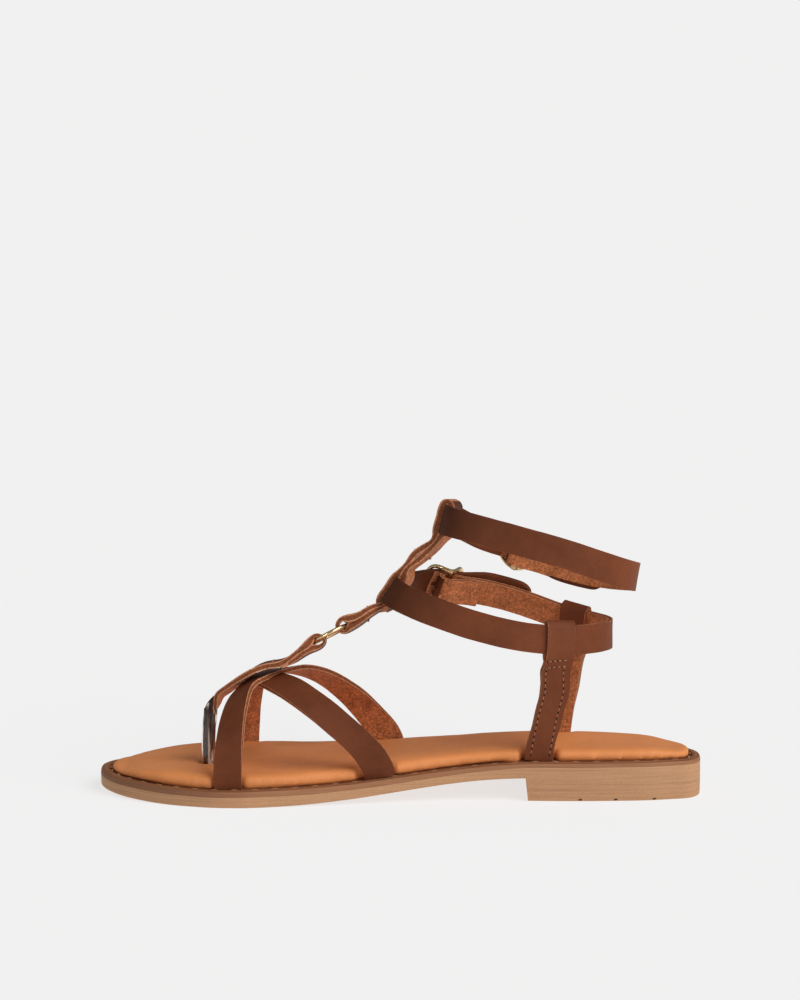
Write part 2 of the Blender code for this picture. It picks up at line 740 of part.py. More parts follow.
def make_tbar_upper(lower, upper, finish):
    low, high = lower.spot(0.0), upper.spot(0.0)
    middle = Vector(TBAR_BETWEEN)
    out = (low.out + high.out).normalized()
    across = -(low.forward + high.forward).normalized()
    outer, inner = [(*(middle + out * offset), *across, TBAR_WIDTH, TBAR_PLY_THICK)
                    for offset in TBAR_PLY_OFFSETS]
    rows = [offset_row(low, *TBAR_RETURN_END, -low.forward, TBAR_WIDTH, 1.5)]
    rows += tbar_rows(TBAR_UPPER)
    rows += tunnel_rows(low, TUNNEL_OUTER) + [outer] + tunnel_rows(high, TUNNEL_TOP)
    rows += [inner] + tunnel_rows(low, TUNNEL_INNER)
    return band("tbar_upper", rows_to_stations(rows, step=2.6), finish)


def make_post_sleeve(finish):
    """Clear tube round the post, standing on the midsole in the hole of the insole."""
    sides = 20
    foot = rim_height(POST_X) + GAP
    profile = ((SLEEVE_OUTER, foot), (SLEEVE_OUTER, SLEEVE_TOP),
               (SLEEVE_OUTER - SLEEVE_WALL, SLEEVE_TOP), (SLEEVE_OUTER - SLEEVE_WALL, foot))
    rings = []
    for k in range(sides):
        angle = -2 * pi * k / sides
        rings.append([Vector((POST_X + r * cos(angle), POST_Y + r * sin(angle), z)) for r, z in profile])
    return loft("post_sleeve", rings, finish, closed=True)


def make_ring(finish):
    centre = Vector(RING_CENTRE)
    slope, roll = radians(RING_SLOPE), radians(RING_ROLL)
    ahead = Vector((cos(slope), 0.0, sin(slope)))
    across = squared(Vector((0.0, cos(roll), -sin(roll))), ahead)
    places = [centre + (ahead * cos(a) + across * sin(a)) * RING_RADIUS
              for a in (2 * pi * k / 36 for k in range(36))]
    return wire("ring", places, RING_WIRE, 8, ahead.cross(across), finish, closed=True)


# ---------------------------------------------------------------- buckles

def superellipse(angle, half_length, half_height, squareness):
    def part(value, half):
        return half * (1 if value >= 0 else -1) * abs(value)**(2 / squareness)
    return part(cos(angle), half_length), part(sin(angle), half_height)


def make_buckle(name, spot, finish):
    """Frame bowed out at its two rails, with a bar across its middle."""
    places = []
    count = 32
    for k in range(count):
        u, v = superellipse(2 * pi * k / count, BUCKLE_HALF_LENGTH, BUCKLE_HALF_HEIGHT, BUCKLE_SQUARENESS)
        rise = BAR_OUT + (RAIL_OUT - BAR_OUT) * sin(min(1.0, abs(u) / BUCKLE_HALF_LENGTH) * pi / 2)**2
        places.append(spot.place + spot.forward * u + spot.up * v + spot.out * rise)
    frame = wire(name, places, BUCKLE_WIRE, 8, spot.out, finish, closed=True)
    ends = [spot.place + spot.up * BUCKLE_HALF_HEIGHT * side + spot.out * BAR_OUT for side in (-1, 1)]
    bar = wire(name + "_bar", ends, BUCKLE_BAR, 8, spot.out, finish, cutter=True)
    combine(frame, bar, "UNION")
    return frame


def make_prong(name, spot, finish):
    """Prong whose eye goes round the bar; its point lies on the front rail."""
    eye = []
    for degrees in range(-60, -241, -30):
        angle = radians(degrees)
        eye.append((PRONG_ROUND_BAR * cos(angle), BAR_OUT + PRONG_ROUND_BAR * sin(angle)))
    places = [spot.place + spot.forward * u + spot.out * w for u, w in (*eye, *PRONG_REACH)]
    return wire(name, places, PRONG_WIRE, 6, spot.up, finish)


# ---------------------------------------------------------------- straps from the sole to the ankle

def make_quarter_strap(name, table, line, at_x, side, finish):
    """Strap doubled over the lower ankle strap, both its ends going down to the sole."""
    spot = line.spot(line.distance_at(at_x, side))
    level = Vector((side * -1.0, 0.0, 0.0))
    outwards = Vector((0.0, float(side), 0.0))
    count = len(table)

    def leg(sign):
        rows = []
        for i, place in enumerate(table):
            share = i / count
            out = outwards.lerp(spot.out, share).normalized()
            across = level.lerp(spot.forward, share).normalized()
            rows.append((*(Vector(place) + out * QUARTER_PLY_OFFSET * sign), *across, QUARTER_WIDTH, PLY_THICK))
        return rows

    rows = leg(-1)
    rows += [offset_row(spot, along, out, spot.forward, QUARTER_WIDTH, LOOP_THICK) for along, out in QUARTER_LOOP]
    rows += list(reversed(leg(1)))
    return band(name, rows_to_stations(rows), finish)


# ---------------------------------------------------------------- the sandal

def main():
    for old in list(bpy.data.objects):
        bpy.data.objects.remove(old)
    brown = material("brown_leather", (0.135, 0.042, 0.020), 0.45)
    footbed = material("tan_leather", (0.50, 0.19, 0.075), 0.55)
    rim = material("brown_midsole", (0.28, 0.14, 0.085), 0.6)
    sole = material("tan_sole", (0.50, 0.30, 0.17), 0.6)
    gold = material("gold_metal", (0.78, 0.60, 0.33), 0.25, 1.0)
    clear = material("clear_plastic", (0.85, 0.86, 0.87), 0.1)

    make_outsole(sole)
    make_midsole(rim)
    make_insole(footbed)
    make_cross_straps(brown)
    make_tbar_lower(brown)
    make_post_sleeve(clear)
    make_ring(gold)
    lines = {"lower": AnkleLine(ANKLE_LOWER), "upper": AnkleLine(ANKLE_UPPER)}
    for which, bar_x, tail_rise in BUCKLES:
        line = lines[which]
        bar = line.distance_at(bar_x, 1)
        make_ankle_strap("ankle_strap_" + which, line, bar, tail_rise, brown)
        make_buckle("buckle_" + which, line.spot(bar), gold)
        make_prong("prong_" + which, line.spot(bar), gold)
    make_tbar_upper(lines["lower"], lines["upper"], brown)
    medial_x, lateral_x = QUARTER_LOOP_X
    make_quarter_strap("quarter_strap_medial", QUARTER_MEDIAL, lines["lower"], medial_x, -1, brown)
    make_quarter_strap("quarter_strap_lateral", QUARTER_LATERAL, lines["lower"], lateral_x, 1, brown)


main()
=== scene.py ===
"""Flat toe post sandal: the dressed model, built piece by piece round the solids of its frame.

The toe points along -X, the heel along +X, the inner side of the foot is at -Y and the floor is Z = 0.
"""

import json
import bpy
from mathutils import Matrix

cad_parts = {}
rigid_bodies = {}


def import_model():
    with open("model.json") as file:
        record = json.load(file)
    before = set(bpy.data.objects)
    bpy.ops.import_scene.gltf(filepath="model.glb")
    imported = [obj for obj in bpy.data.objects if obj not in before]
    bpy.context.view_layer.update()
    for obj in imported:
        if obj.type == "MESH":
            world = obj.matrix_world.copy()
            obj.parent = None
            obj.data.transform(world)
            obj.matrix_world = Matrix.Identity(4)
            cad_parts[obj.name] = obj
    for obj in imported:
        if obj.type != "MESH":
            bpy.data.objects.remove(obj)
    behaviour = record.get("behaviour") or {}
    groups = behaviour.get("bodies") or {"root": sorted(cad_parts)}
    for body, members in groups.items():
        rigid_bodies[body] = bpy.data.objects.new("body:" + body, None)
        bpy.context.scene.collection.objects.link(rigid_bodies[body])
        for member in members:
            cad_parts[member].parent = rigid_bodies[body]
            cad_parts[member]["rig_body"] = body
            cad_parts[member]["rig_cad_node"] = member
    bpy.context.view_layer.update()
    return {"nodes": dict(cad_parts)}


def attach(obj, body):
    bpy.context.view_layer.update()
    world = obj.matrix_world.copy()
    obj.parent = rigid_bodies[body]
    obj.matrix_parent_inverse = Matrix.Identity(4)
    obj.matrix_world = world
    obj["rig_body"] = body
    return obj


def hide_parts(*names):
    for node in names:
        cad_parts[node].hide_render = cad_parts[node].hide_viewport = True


bl_info = {
    "name": "Toe Post Sandal",
    "version": (1, 0, 0),
    "blender": (4, 5, 0),
    "location": "View3D > Sidebar > Sandal",
    "description": "Builds a flat sandal with a toe post, crossed straps, a T-bar and two ankle straps",
    "category": "Add Mesh",
}

from math import atan2, cos, pi, radians, sin

import bpy
from bpy.props import FloatProperty, FloatVectorProperty, PointerProperty
from mathutils import Matrix, Vector

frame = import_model()
MM = 0.001
ROOT = "root"
SAME_POINT = 0.002 * MM
SHARP_CORNER = radians(68.0)

# Material slots on every strap.
GRAIN, SUEDE, EDGE, CORE = range(4)


# ---------------------------------------------------------------- selecting and copying

def deselect():
    """Object mode, with nothing selected."""
    if bpy.context.object and bpy.context.object.mode != "OBJECT":
        bpy.ops.object.mode_set(mode="OBJECT")
    bpy.ops.object.select_all(action="DESELECT")


def choose(*objects):
    """Selects only these objects; the last is the active one."""
    deselect()
    for item in objects:
        item.select_set(True)
    bpy.context.view_layer.objects.active = objects[-1]


def edit(piece, mode="FACE"):
    """Edit mode on one piece, with nothing selected in it."""
    choose(piece)
    bpy.ops.object.mode_set(mode="EDIT")
    bpy.ops.mesh.select_mode(type=mode)
    bpy.ops.mesh.select_all(action="DESELECT")


def leave():
    """Back to object mode."""
    bpy.ops.object.mode_set(mode="OBJECT")


def copy_of(node):
    """A new piece in the shape of a solid: doubles merged, triangles paired into four-sided faces."""
    choose(frame["nodes"][node])
    bpy.ops.object.duplicate()
    piece = bpy.context.object
    piece.name = piece.data.name = node
    bpy.ops.object.parent_clear(type="CLEAR_KEEP_TRANSFORM")
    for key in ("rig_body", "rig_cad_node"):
        del piece[key]
    piece.data.materials.clear()
    bpy.ops.mesh.customdata_custom_splitnormals_clear()
    edit(piece)
    bpy.ops.mesh.select_all(action="SELECT")
    bpy.ops.mesh.remove_doubles(threshold=SAME_POINT)
    bpy.ops.mesh.tris_convert_to_quads(face_threshold=radians(60.0), shape_threshold=radians(75.0))
    leave()
    return piece


def select_faces(piece, test):
    """Selects the faces for which test(face) is true; the piece is in object mode before and after."""
    edit(piece)
    leave()
    for face in piece.data.polygons:
        face.select = bool(test(face))


def select_points(piece, test):
    """Selects the points for which test(point) is true."""
    edit(piece, "VERT")
    leave()
    for point in piece.data.vertices:
        point.select = bool(test(point))


def select_edges(piece, wanted):
    """Selects the edges with these numbers."""
    edit(piece, "EDGE")
    leave()
    for number in wanted:
        piece.data.edges[number].select = True


def move(value, reach=None, falloff="SMOOTH"):
    """Moves what is selected; points within reach of it follow, by less the further off they are."""
    bpy.ops.object.mode_set(mode="EDIT")
    if reach:
        bpy.ops.transform.translate(value=value, use_proportional_edit=True,
                                    proportional_edit_falloff=falloff, proportional_size=reach)
    else:
        bpy.ops.transform.translate(value=value)
    leave()


def fatten(distance):
    """Moves the selected faces outwards."""
    bpy.ops.object.mode_set(mode="EDIT")
    bpy.ops.transform.shrink_fatten(value=distance)
    leave()


def add_to(piece, *parts):
    """Makes these parts one with a piece."""
    choose(*parts, piece)
    bpy.ops.object.join()


def faces_up(face):
    """Part of a flat top."""
    return face.normal.z > 0.94


def faces_down(face):
    """Part of a flat underside."""
    return face.normal.z < -0.94


def flat_region(piece, near, facing):
    """Numbers of the faces that join up with the one nearest a point without a sharp corner between."""
    near, facing = Vector(near) * MM, Vector(facing).normalized()
    fronts = [face for face in piece.data.polygons if face.normal.dot(facing) > 0.5]
    seed = min(fronts, key=lambda face: (face.center - near).length).index
    select_faces(piece, lambda face: face.index == seed)
    bpy.ops.object.mode_set(mode="EDIT")
    bpy.ops.mesh.faces_select_linked_flat(sharpness=SHARP_CORNER)
    leave()
    return {face.index for face in piece.data.polygons if face.select}


def edge_faces(mesh):
    """For each edge's number, the numbers of the faces beside it."""
    beside = {}
    for face in mesh.polygons:
        for loop in face.loop_indices:
            beside.setdefault(mesh.loops[loop].edge_index, []).append(face.index)
    return beside


def apply_modifier(piece, kind, **settings):
    """Adds one modifier with these settings and applies it."""
    choose(piece)
    step = piece.modifiers.new(kind.title(), kind)
    for key, value in settings.items():
        setattr(step, key, value)
    bpy.ops.object.modifier_apply(modifier=step.name)


def round_corners(piece, width, angle=60.0):
    """Rounds the corners that are sharper than an angle."""
    apply_modifier(piece, "BEVEL", width=width, segments=2, limit_method="ANGLE",
                   angle_limit=radians(angle), harden_normals=False)


def subdivide(piece, levels):
    """Splits every face and rounds the whole shape."""
    apply_modifier(piece, "SUBSURF", levels=levels, render_levels=levels)


def displace(piece, name, size, strength):
    """Moves a surface in and out by a cloudy texture."""
    texture = bpy.data.textures.get(name) or bpy.data.textures.new(name, "CLOUDS")
    texture.noise_scale = size
    apply_modifier(piece, "DISPLACE", texture=texture, strength=strength, mid_level=0.5,
                   texture_coords="LOCAL")


def smooth(piece, angle=None):
    """Smooth shading, all over or only across edges flatter than an angle."""
    choose(piece)
    if angle is None:
        bpy.ops.object.shade_smooth()
    else:
        bpy.ops.object.shade_smooth_by_angle(angle=radians(angle))


def finish_piece(piece, slot, *nodes):
    """The piece goes with the sandal and stands for these solids."""
    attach(piece, ROOT)
    if nodes:
        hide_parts(*nodes)


# ---------------------------------------------------------------- materials

class Recipe:
    """The nodes of one material, all on Object coordinates."""

    def __init__(self, name):
        self.material = bpy.data.materials.new(name)
        self.material.use_nodes = True
        self.tree = self.material.node_tree
        self.shader = self.tree.nodes["Principled BSDF"]
        self.place = self.tree.nodes.new("ShaderNodeTexCoord").outputs["Object"]

    def node(self, kind, inputs=(), **settings):
        """A new node; each input is a value or another node's output."""
        made = self.tree.nodes.new("ShaderNode" + kind)
        for key, value in settings.items():
            setattr(made, key, value)
        for key, value in dict(inputs).items():
            self.feed(made.inputs[key], value)
        return made

    def feed(self, socket, value):
        """Puts a value, a colour or another node's output into a socket."""
        if isinstance(value, bpy.types.NodeSocket):
            self.tree.links.new(value, socket)
        elif isinstance(value, (tuple, list)) and len(value) == 3 and socket.type == "RGBA":
            socket.default_value = (*value, 1.0)
        else:
            socket.default_value = value

    def stretched(self, scale):
        """Places scaled by a different amount along each axis."""
        return self.node("Mapping", {"Vector": self.place, "Scale": scale}).outputs[0]

    def noise(self, scale, detail=4.0, roughness=0.5, at=None):
        """Cloudy pattern, with its scale per metre."""
        return self.node("TexNoise", {"Vector": at or self.place, "Scale": scale, "Detail": detail,
                                      "Roughness": roughness}).outputs["Fac"]

    def cells(self, scale):
        """Small round cells, with their scale per metre."""
        return self.node("TexVoronoi", {"Vector": self.place, "Scale": scale}).outputs["Distance"]

    def ramp(self, amount, *stops):
        """Colours at places along a pattern: each stop is (place, colour)."""
        made = self.node("ValToRGB", {"Fac": amount})
        points = made.color_ramp.elements
        while len(points) < len(stops):
            points.new(0.5)
        for point, (place, colour) in zip(points, stops):
            point.position = place
            point.color = (*colour, 1.0) if isinstance(colour, tuple) else (colour, colour, colour, 1.0)
        return made.outputs["Color"]

    def mix(self, amount, first, second, blend="MIX"):
        """Two colours blended; the numbers are the Mix node's sockets for colours."""
        made = self.node("Mix", data_type="RGBA", blend_type=blend)
        for number, value in ((0, amount), (6, first), (7, second)):
            self.feed(made.inputs[number], value)
        return made.outputs[2]

    def math(self, operation, first, second):
        """Arithmetic on two values."""
        made = self.node("Math", operation=operation)
        self.feed(made.inputs[0], first)
        self.feed(made.inputs[1], second)
        return made.outputs[0]

    def bump(self, height, strength, distance, under=None):
        """Fine relief, laid over another one where that is given."""
        inputs = {"Height": height, "Strength": strength, "Distance": distance}
        if under:
            inputs["Normal"] = under
        return self.node("Bump", inputs).outputs["Normal"]

    def worn(self, low, high):
        """0 on flat parts and 1 on the rubbed corners."""
        return self.between(self.node("NewGeometry").outputs["Pointiness"], low, high)

    def between(self, value, low, high, start=0.0, end=1.0):
        """A value from start to end while another goes from low to high."""
        return self.node("MapRange", {"Value": value, "From Min": low, "From Max": high,
                                      "To Min": start, "To Max": end}).outputs[0]

    def finish(self, **inputs):
        """The finished material, with these inputs on its shader."""
        for key, value in inputs.items():
            self.feed(self.shader.inputs[key.replace("_", " ").title().replace("Ior", "IOR")], value)
        return self.material


def shade(colour, factor):
    """A colour made darker or lighter."""
    return tuple(min(1.0, part * factor) for part in colour)


def smooth_leather(name, colour, grain):
    """Smooth leather: cloudy, finely pored, rubbed at its corners, with painted shade at the front of the
    ankle and a painted highlight towards the heel.
    """
    r = Recipe(name)
    patches = r.ramp(r.noise(28.0, 8.0, 0.65), (0.3, shade(colour, 0.7)), (0.5, colour),
                     (0.72, shade(colour, 1.28)))
    pores = r.ramp(r.cells(grain), (0.0, 0.8), (0.45, 1.0))
    base = r.mix(1.0, patches, pores, "MULTIPLY")
    base = r.mix(r.math("MULTIPLY", r.worn(0.52, 0.6), 0.4), base, shade(colour, 1.9))
    # Painted light: above 58 mm the colour is darkened towards the toe as painted shade, down to half, and
    # lightened towards the heel as a painted highlight.
    place = r.node("SeparateXYZ", {"Vector": r.place})
    back = r.math("SUBTRACT", place.outputs["X"], r.math("MULTIPLY", place.outputs["Z"], 0.75))
    painted_shade_and_highlight = r.between(back, -0.070, -0.028, -0.50, 0.12)
    high = r.between(place.outputs["Z"], 0.058, 0.07)
    base = r.mix(1.0, base, r.math("ADD", r.math("MULTIPLY", painted_shade_and_highlight, high), 1.0), "MULTIPLY")
    gloss = r.ramp(r.noise(260.0, 4.0), (0.3, 0.51), (0.7, 0.65))
    creases = r.bump(r.noise(1.0, 5.0, 0.6, at=r.stretched((130.0, 130.0, 420.0))), 0.25, 0.0006)
    fine = r.bump(r.noise(grain * 1.7, 3.0), 0.1, 0.0001, creases)
    relief = r.bump(r.cells(grain), 0.2, 0.00012, fine)
    return r.finish(base_color=base, roughness=gloss, normal=relief, specular_ior_level=0.11)


def rolled_leather(name, colour):
    """Dark leather rolled up tight in a clear sleeve, with pale painted highlight streaks that stand in for
    reflections in the sleeve.
    """
    r = Recipe(name)
    folds = r.noise(1.0, 2.0, 0.4, at=r.stretched((620.0, 620.0, 34.0)))
    painted_streak_highlight = (0.78, 0.68, 0.61)
    # The two palest stops are painted highlights, not a colour of the leather.
    base = r.ramp(folds, (0.3, shade(colour, 0.5)), (0.52, colour), (0.595, shade(colour, 1.6)),
                  (0.635, painted_streak_highlight))
    relief = r.bump(folds, 0.6, 0.0006)
    return r.finish(base_color=base, roughness=0.4, normal=relief, specular_ior_level=0.15)


def suede(name, colour):
    """Rough flesh side: short matted fibres with darker pits."""
    r = Recipe(name)
    fibres = r.noise(950.0, 8.0, 0.75)
    matted = r.ramp(fibres, (0.34, shade(colour, 0.52)), (0.5, colour), (0.64, shade(colour, 1.6)))
    broad = r.ramp(r.noise(240.0, 6.0, 0.65), (0.3, 0.62), (0.55, 1.0), (0.75, 1.12))
    base = r.mix(1.0, matted, broad, "MULTIPLY")
    return r.finish(base_color=base, roughness=0.95, normal=r.bump(fibres, 0.8, 0.0005), sheen_weight=0.12,
                    specular_ior_level=0.15)


def cut_edge(name, colour):
    """Cut edge of the leather, with fibres showing."""
    r = Recipe(name)
    fibres = r.noise(1100.0, 6.0, 0.7)
    base = r.ramp(fibres, (0.34, shade(colour, 0.45)), (0.52, colour), (0.7, shade(colour, 1.4)))
    return r.finish(base_color=base, roughness=0.8, normal=r.bump(fibres, 0.6, 0.0003),
                    specular_ior_level=0.2)


def thread(name, colour):
    """Twisted sewing thread."""
    r = Recipe(name)
    twist = r.noise(2600.0, 3.0)
    base = r.ramp(twist, (0.3, shade(colour, 0.6)), (0.7, shade(colour, 1.15)))
    return r.finish(base_color=base, roughness=0.7, normal=r.bump(twist, 0.5, 0.0001),
                    specular_ior_level=0.2)


def made_once(name, recipe, *values):
    """The material of this name, made when it is first asked for."""
    return bpy.data.materials.get(name) or recipe(name, *values)


def tan_thread(straps):
    """The thread of the straps' seams."""
    return made_once("thread_tan", thread, tuple(straps.thread_colour))


def hole_shade():
    """Painted shade for the inside of a hole or a needle's prick: almost black."""
    return made_once("pinhole", cut_edge, (0.012, 0.006, 0.004))


# ---------------------------------------------------------------- straps

def strap_materials(straps):
    """The four finishes of a strap."""
    return [made_once("strap_grain", smooth_leather, tuple(straps.grain_colour), straps.grain_scale),
            made_once("strap_suede", suede, tuple(straps.suede_colour)),
            made_once("strap_edge", cut_edge, tuple(straps.edge_colour)),
            made_once("strap_core", cut_edge, tuple(straps.core_colour))]


def layered_edges(piece):
    """Splits the cut edges into layers: a pale line on each side of the darker middle, the pale lines
    partly a painted highlight where light catches the corners.
    """
    mesh = piece.data
    thin = {face.index for face in mesh.polygons if face.material_index == EDGE}
    across = [number for number, faces in edge_faces(mesh).items()
              if len(faces) == 2 and faces[0] in thin and faces[1] in thin]
    select_edges(piece, across)
    bpy.ops.object.mode_set(mode="EDIT")
    bpy.ops.mesh.subdivide(number_cuts=4)
    leave()
    rims = set()
    for face in mesh.polygons:
        if face.material_index != EDGE:
            rims.update(face.vertices)
    for face in mesh.polygons:
        if face.material_index == EDGE and not rims.intersection(face.vertices):
            face.material_index = CORE


def joined_faces(piece, near, allowed):
    """Numbers of the allowed faces that join up with the one nearest a point."""
    near = Vector(near) * MM
    sides = {}
    for edge, faces in edge_faces(piece.data).items():
        inside = [number for number in faces if number in allowed]
        for number in inside:
            sides.setdefault(number, set()).update(inside)
    found = set()
    ahead = [min(allowed, key=lambda number: (piece.data.polygons[number].center - near).length)]
    while ahead:
        number = ahead.pop()
        if number not in found:
            found.add(number)
            ahead.extend(sides.get(number, ()))
    return found


def recolour(piece, numbers, slot):
    """Gives the faces with these numbers another finish."""
    for number in numbers:
        piece.data.polygons[number].material_index = slot


def edges_beside(piece, numbers):
    """Numbers of the cut-edge faces that run along these faces."""
    points = {point for number in numbers for point in piece.data.polygons[number].vertices}
    found = set()
    for layer in range(5):
        touched = [face for face in piece.data.polygons if face.material_index in (EDGE, CORE)
                   and face.index not in found and points.intersection(face.vertices)]
        found.update(face.index for face in touched)
        points.update(point for face in touched for point in face.vertices)
    return found


RING = (-29.0, -4.8, 67.2)
LOOP_REACH = 9.2 * MM
# Closing the layers of a doubled strap: widest gap that is closed, gap that is left, and one step.
WIDEST_GAP, LAST_GAP, CLOSING_STEP = 5.0 * MM, 0.16 * MM, 0.07 * MM


def close_plies(piece):
    """Brings the two layers of a doubled strap together, except in the loops round the ring."""
    ring = Vector(RING) * MM
    for turn in range(30):
        facing = set()
        for face in piece.data.polygons:
            if face.material_index != SUEDE or (face.center - ring).length < LOOP_REACH:
                continue
            start = face.center + face.normal * 0.01 * MM
            hit, spot, normal, index = piece.ray_cast(start, face.normal, distance=WIDEST_GAP)
            if hit and normal.dot(face.normal) < -0.6 and (spot - start).length > LAST_GAP:
                facing.add(face.index)
        if not facing:
            break
        select_faces(piece, lambda face: face.index in facing)
        fatten(CLOSING_STEP)


def lengthen_ends(piece):
    """Carries the ends of a strap down into the groove beside the insole."""
    select_faces(piece, lambda face: face.normal.z < -0.7 and face.center.z < 24.0 * MM
                 and face.material_index == EDGE)
    move((0.0, 0.0, -1.3 * MM))


def dress_strap(node, straps, skins, linings, relined=None, shaped=None):
    """A strap with a grain side, a suede side and layered cut edges, its corners rounded.

    skins and linings hold a place on each grain and suede side, and which way it faces there;
    shaped(piece) changes the plain shape, relined(piece) the finish of its faces.
    """
    piece = copy_of(node)
    for finish in strap_materials(straps):
        piece.data.materials.append(finish)
    sides = [(GRAIN, seed) for seed in skins] + [(SUEDE, seed) for seed in linings]
    found = [(slot, flat_region(piece, *seed)) for slot, seed in sides]
    recolour(piece, range(len(piece.data.polygons)), EDGE)
    for slot, region in found:
        recolour(piece, region, slot)
    if shaped:
        shaped(piece)
    layered_edges(piece)
    if relined:
        relined(piece)
    round_corners(piece, straps.corner_radius)
    subdivide(piece, 2)
    displace(piece, "uneven", 0.012, straps.waviness)
    smooth(piece)
    finish_piece(piece, "brown_leather", node)
    return piece


# ---------------------------------------------------------------- stitches

def on_surface(piece, guess):
    """The place on a piece nearest to a point, and which way the surface faces there."""
    found, place, normal, index = piece.closest_point_on_mesh(Vector(guess))
    return place, normal


def bead(name, length, width, height, finish):
    """One stitch: a short rounded length of thread lying along X."""
    deselect()
    bpy.ops.mesh.primitive_uv_sphere_add(segments=8, ring_count=6, radius=0.5)
    made = bpy.context.object
    made.name = made.data.name = name
    bpy.ops.transform.resize(value=(length, width, height))
    bpy.ops.object.transform_apply(location=True, rotation=True, scale=True)
    made.data.materials.append(finish)
    smooth(made)
    return made


def sew(pattern, places):
    """Copies of one stitch at places, each with the way it runs and the way it faces up."""
    made = []
    for place, along, up in places:
        choose(pattern)
        bpy.ops.object.duplicate()
        copy = bpy.context.object
        across = up.cross(along).normalized()
        along = across.cross(up).normalized()
        turn = Matrix((along, across, up.normalized())).transposed().to_4x4()
        copy.matrix_world = Matrix.Translation(place) @ turn
        made.append(copy)
    choose(*made)
    bpy.ops.object.join()
    row = bpy.context.object
    bpy.ops.object.transform_apply(location=True, rotation=True, scale=True)
    return row


def row_of_stitches(piece, points, pitch, sink):
    """Places for stitches, one pitch apart, along a line of points laid on a piece."""
    line = [on_surface(piece, Vector(point) * MM) for point in points]
    spots, run = [], 0.5 * pitch
    for (start, up), (end, up_end) in zip(line, line[1:]):
        length = (end - start).length
        while run < length:
            share = run / length
            normal = up.lerp(up_end, share).normalized()
            spots.append((start.lerp(end, share) - normal * sink, end - start, normal))
            run += pitch
        run -= length
    return spots


class SandalStraps(bpy.types.PropertyGroup):
    """Leather of the straps."""
    grain_colour: FloatVectorProperty(
        name="Grain Side", description="Colour of the smooth outer side of the straps",
        subtype="COLOR", size=3, min=0.0, max=1.0, default=(0.160, 0.044, 0.0165))
    suede_colour: FloatVectorProperty(
        name="Suede Side", description="Colour of the rough inner side of the straps",
        subtype="COLOR", size=3, min=0.0, max=1.0, default=(0.58, 0.205, 0.078))
    # The pale outer layers of a cut edge are partly painted highlight along its corners.
    edge_colour: FloatVectorProperty(
        name="Cut Edge", description="Colour of the outer layers of a cut edge",
        subtype="COLOR", size=3, min=0.0, max=1.0, default=(0.57, 0.250, 0.130))
    core_colour: FloatVectorProperty(
        name="Edge Core", description="Colour of the middle layer of a cut edge",
        subtype="COLOR", size=3, min=0.0, max=1.0, default=(0.24, 0.070, 0.024))
    grain_scale: FloatProperty(
        name="Grain Scale", description="Pores per metre on the smooth side", min=100.0, default=1300.0)
    post_colour: FloatVectorProperty(
        name="Post", description="Colour of the leather rolled up in the toe post",
        subtype="COLOR", size=3, min=0.0, max=1.0, default=(0.055, 0.024, 0.015))
    post_lean: FloatProperty(
        name="Post Lean", description="How far the top of the post stands towards the heel",
        subtype="DISTANCE", unit="LENGTH", default=0.0010)
    post_radius: FloatProperty(
        name="Post Radius", description="Radius of the rolled leather in the sleeve",
        subtype="DISTANCE", unit="LENGTH", min=0.0, default=0.00265)
    thread_colour: FloatVectorProperty(
        name="Thread", description="Colour of the sewing thread",
        subtype="COLOR", size=3, min=0.0, max=1.0, default=(0.40, 0.19, 0.10))
    hole_radius: FloatProperty(
        name="Hole Radius", description="Radius of the holes in the tails",
        subtype="DISTANCE", unit="LENGTH", min=0.0, default=0.001)
    waviness: FloatProperty(
        name="Waviness", description="How far the straps stray from an even thickness",
        subtype="DISTANCE", unit="LENGTH", min=0.0, default=0.0003)
    stitch_pitch: FloatProperty(
        name="Stitch Pitch", description="Distance from one stitch to the next",
        subtype="DISTANCE", unit="LENGTH", min=0.0005, default=0.0027)
    corner_radius: FloatProperty(
        name="Corner Radius", description="Rounding of the straps' corners",
        subtype="DISTANCE", unit="LENGTH", min=0.0, default=0.00035)


class CrossStraps(bpy.types.Operator):
    """Builds the two straps crossed over the instep"""
    bl_idname = "sandal.cross_straps"
    bl_label = "Cross Straps"

    def execute(self, context):
        def spread(piece):
            """Moves the rear ends towards the heel, and the inner rear strap a little forward."""
            lengthen_ends(piece)
            select_points(piece, lambda point: -7.0 * MM < point.co.x < 2.0 * MM and point.co.z < 21.9 * MM)
            move((1.5 * MM, 0.0, 0.0), 13.0 * MM)
            select_points(piece, lambda point: point.co.y < -14.0 * MM and -52.0 < point.co.x / MM < -22.0
                          and 30.0 < point.co.z / MM < 46.0)
            move((-0.45 * MM, 0.0, -0.2 * MM), 11.0 * MM)

        dress_strap("cross_straps", context.scene.sandal_straps, shaped=spread,
                    skins=(((-69.5, -42.0, 25.0), (0, -1, 0)), ((-20.0, -32.6, 29.8), (0, -1, 0)),
                           ((-68.0, 39.4, 25.0), (0, 1, 0)), ((-17.0, 30.8, 29.6), (0, 1, 0))),
                    linings=(((-69.5, -39.4, 25.0), (0, 1, 0)), ((-20.0, -30.6, 29.8), (0, 1, 0)),
                             ((-68.0, 37.4, 25.0), (0, -1, 0)), ((-17.0, 28.8, 29.6), (0, -1, 0))))
        return {"FINISHED"}


POST_FOOT = (-81.0, -13.4, 7.6)
POST_PLEATS = 7
# Height of the straight part of the roll, and the height at which the flat strap is cut off.
POST_ROLL, STRAP_CUT = 24.6, 36.0
# Top of the post: height above its foot, shift towards the heel, size.
POST_TOP = ((26.3, 0.1, 1.0), (28.3, 0.5, 0.95), (29.9, 0.8, 0.88), (31.5, 1.3, 0.72), (33.0, 2.1, 0.54),
            (34.6, 3.2, 0.35))


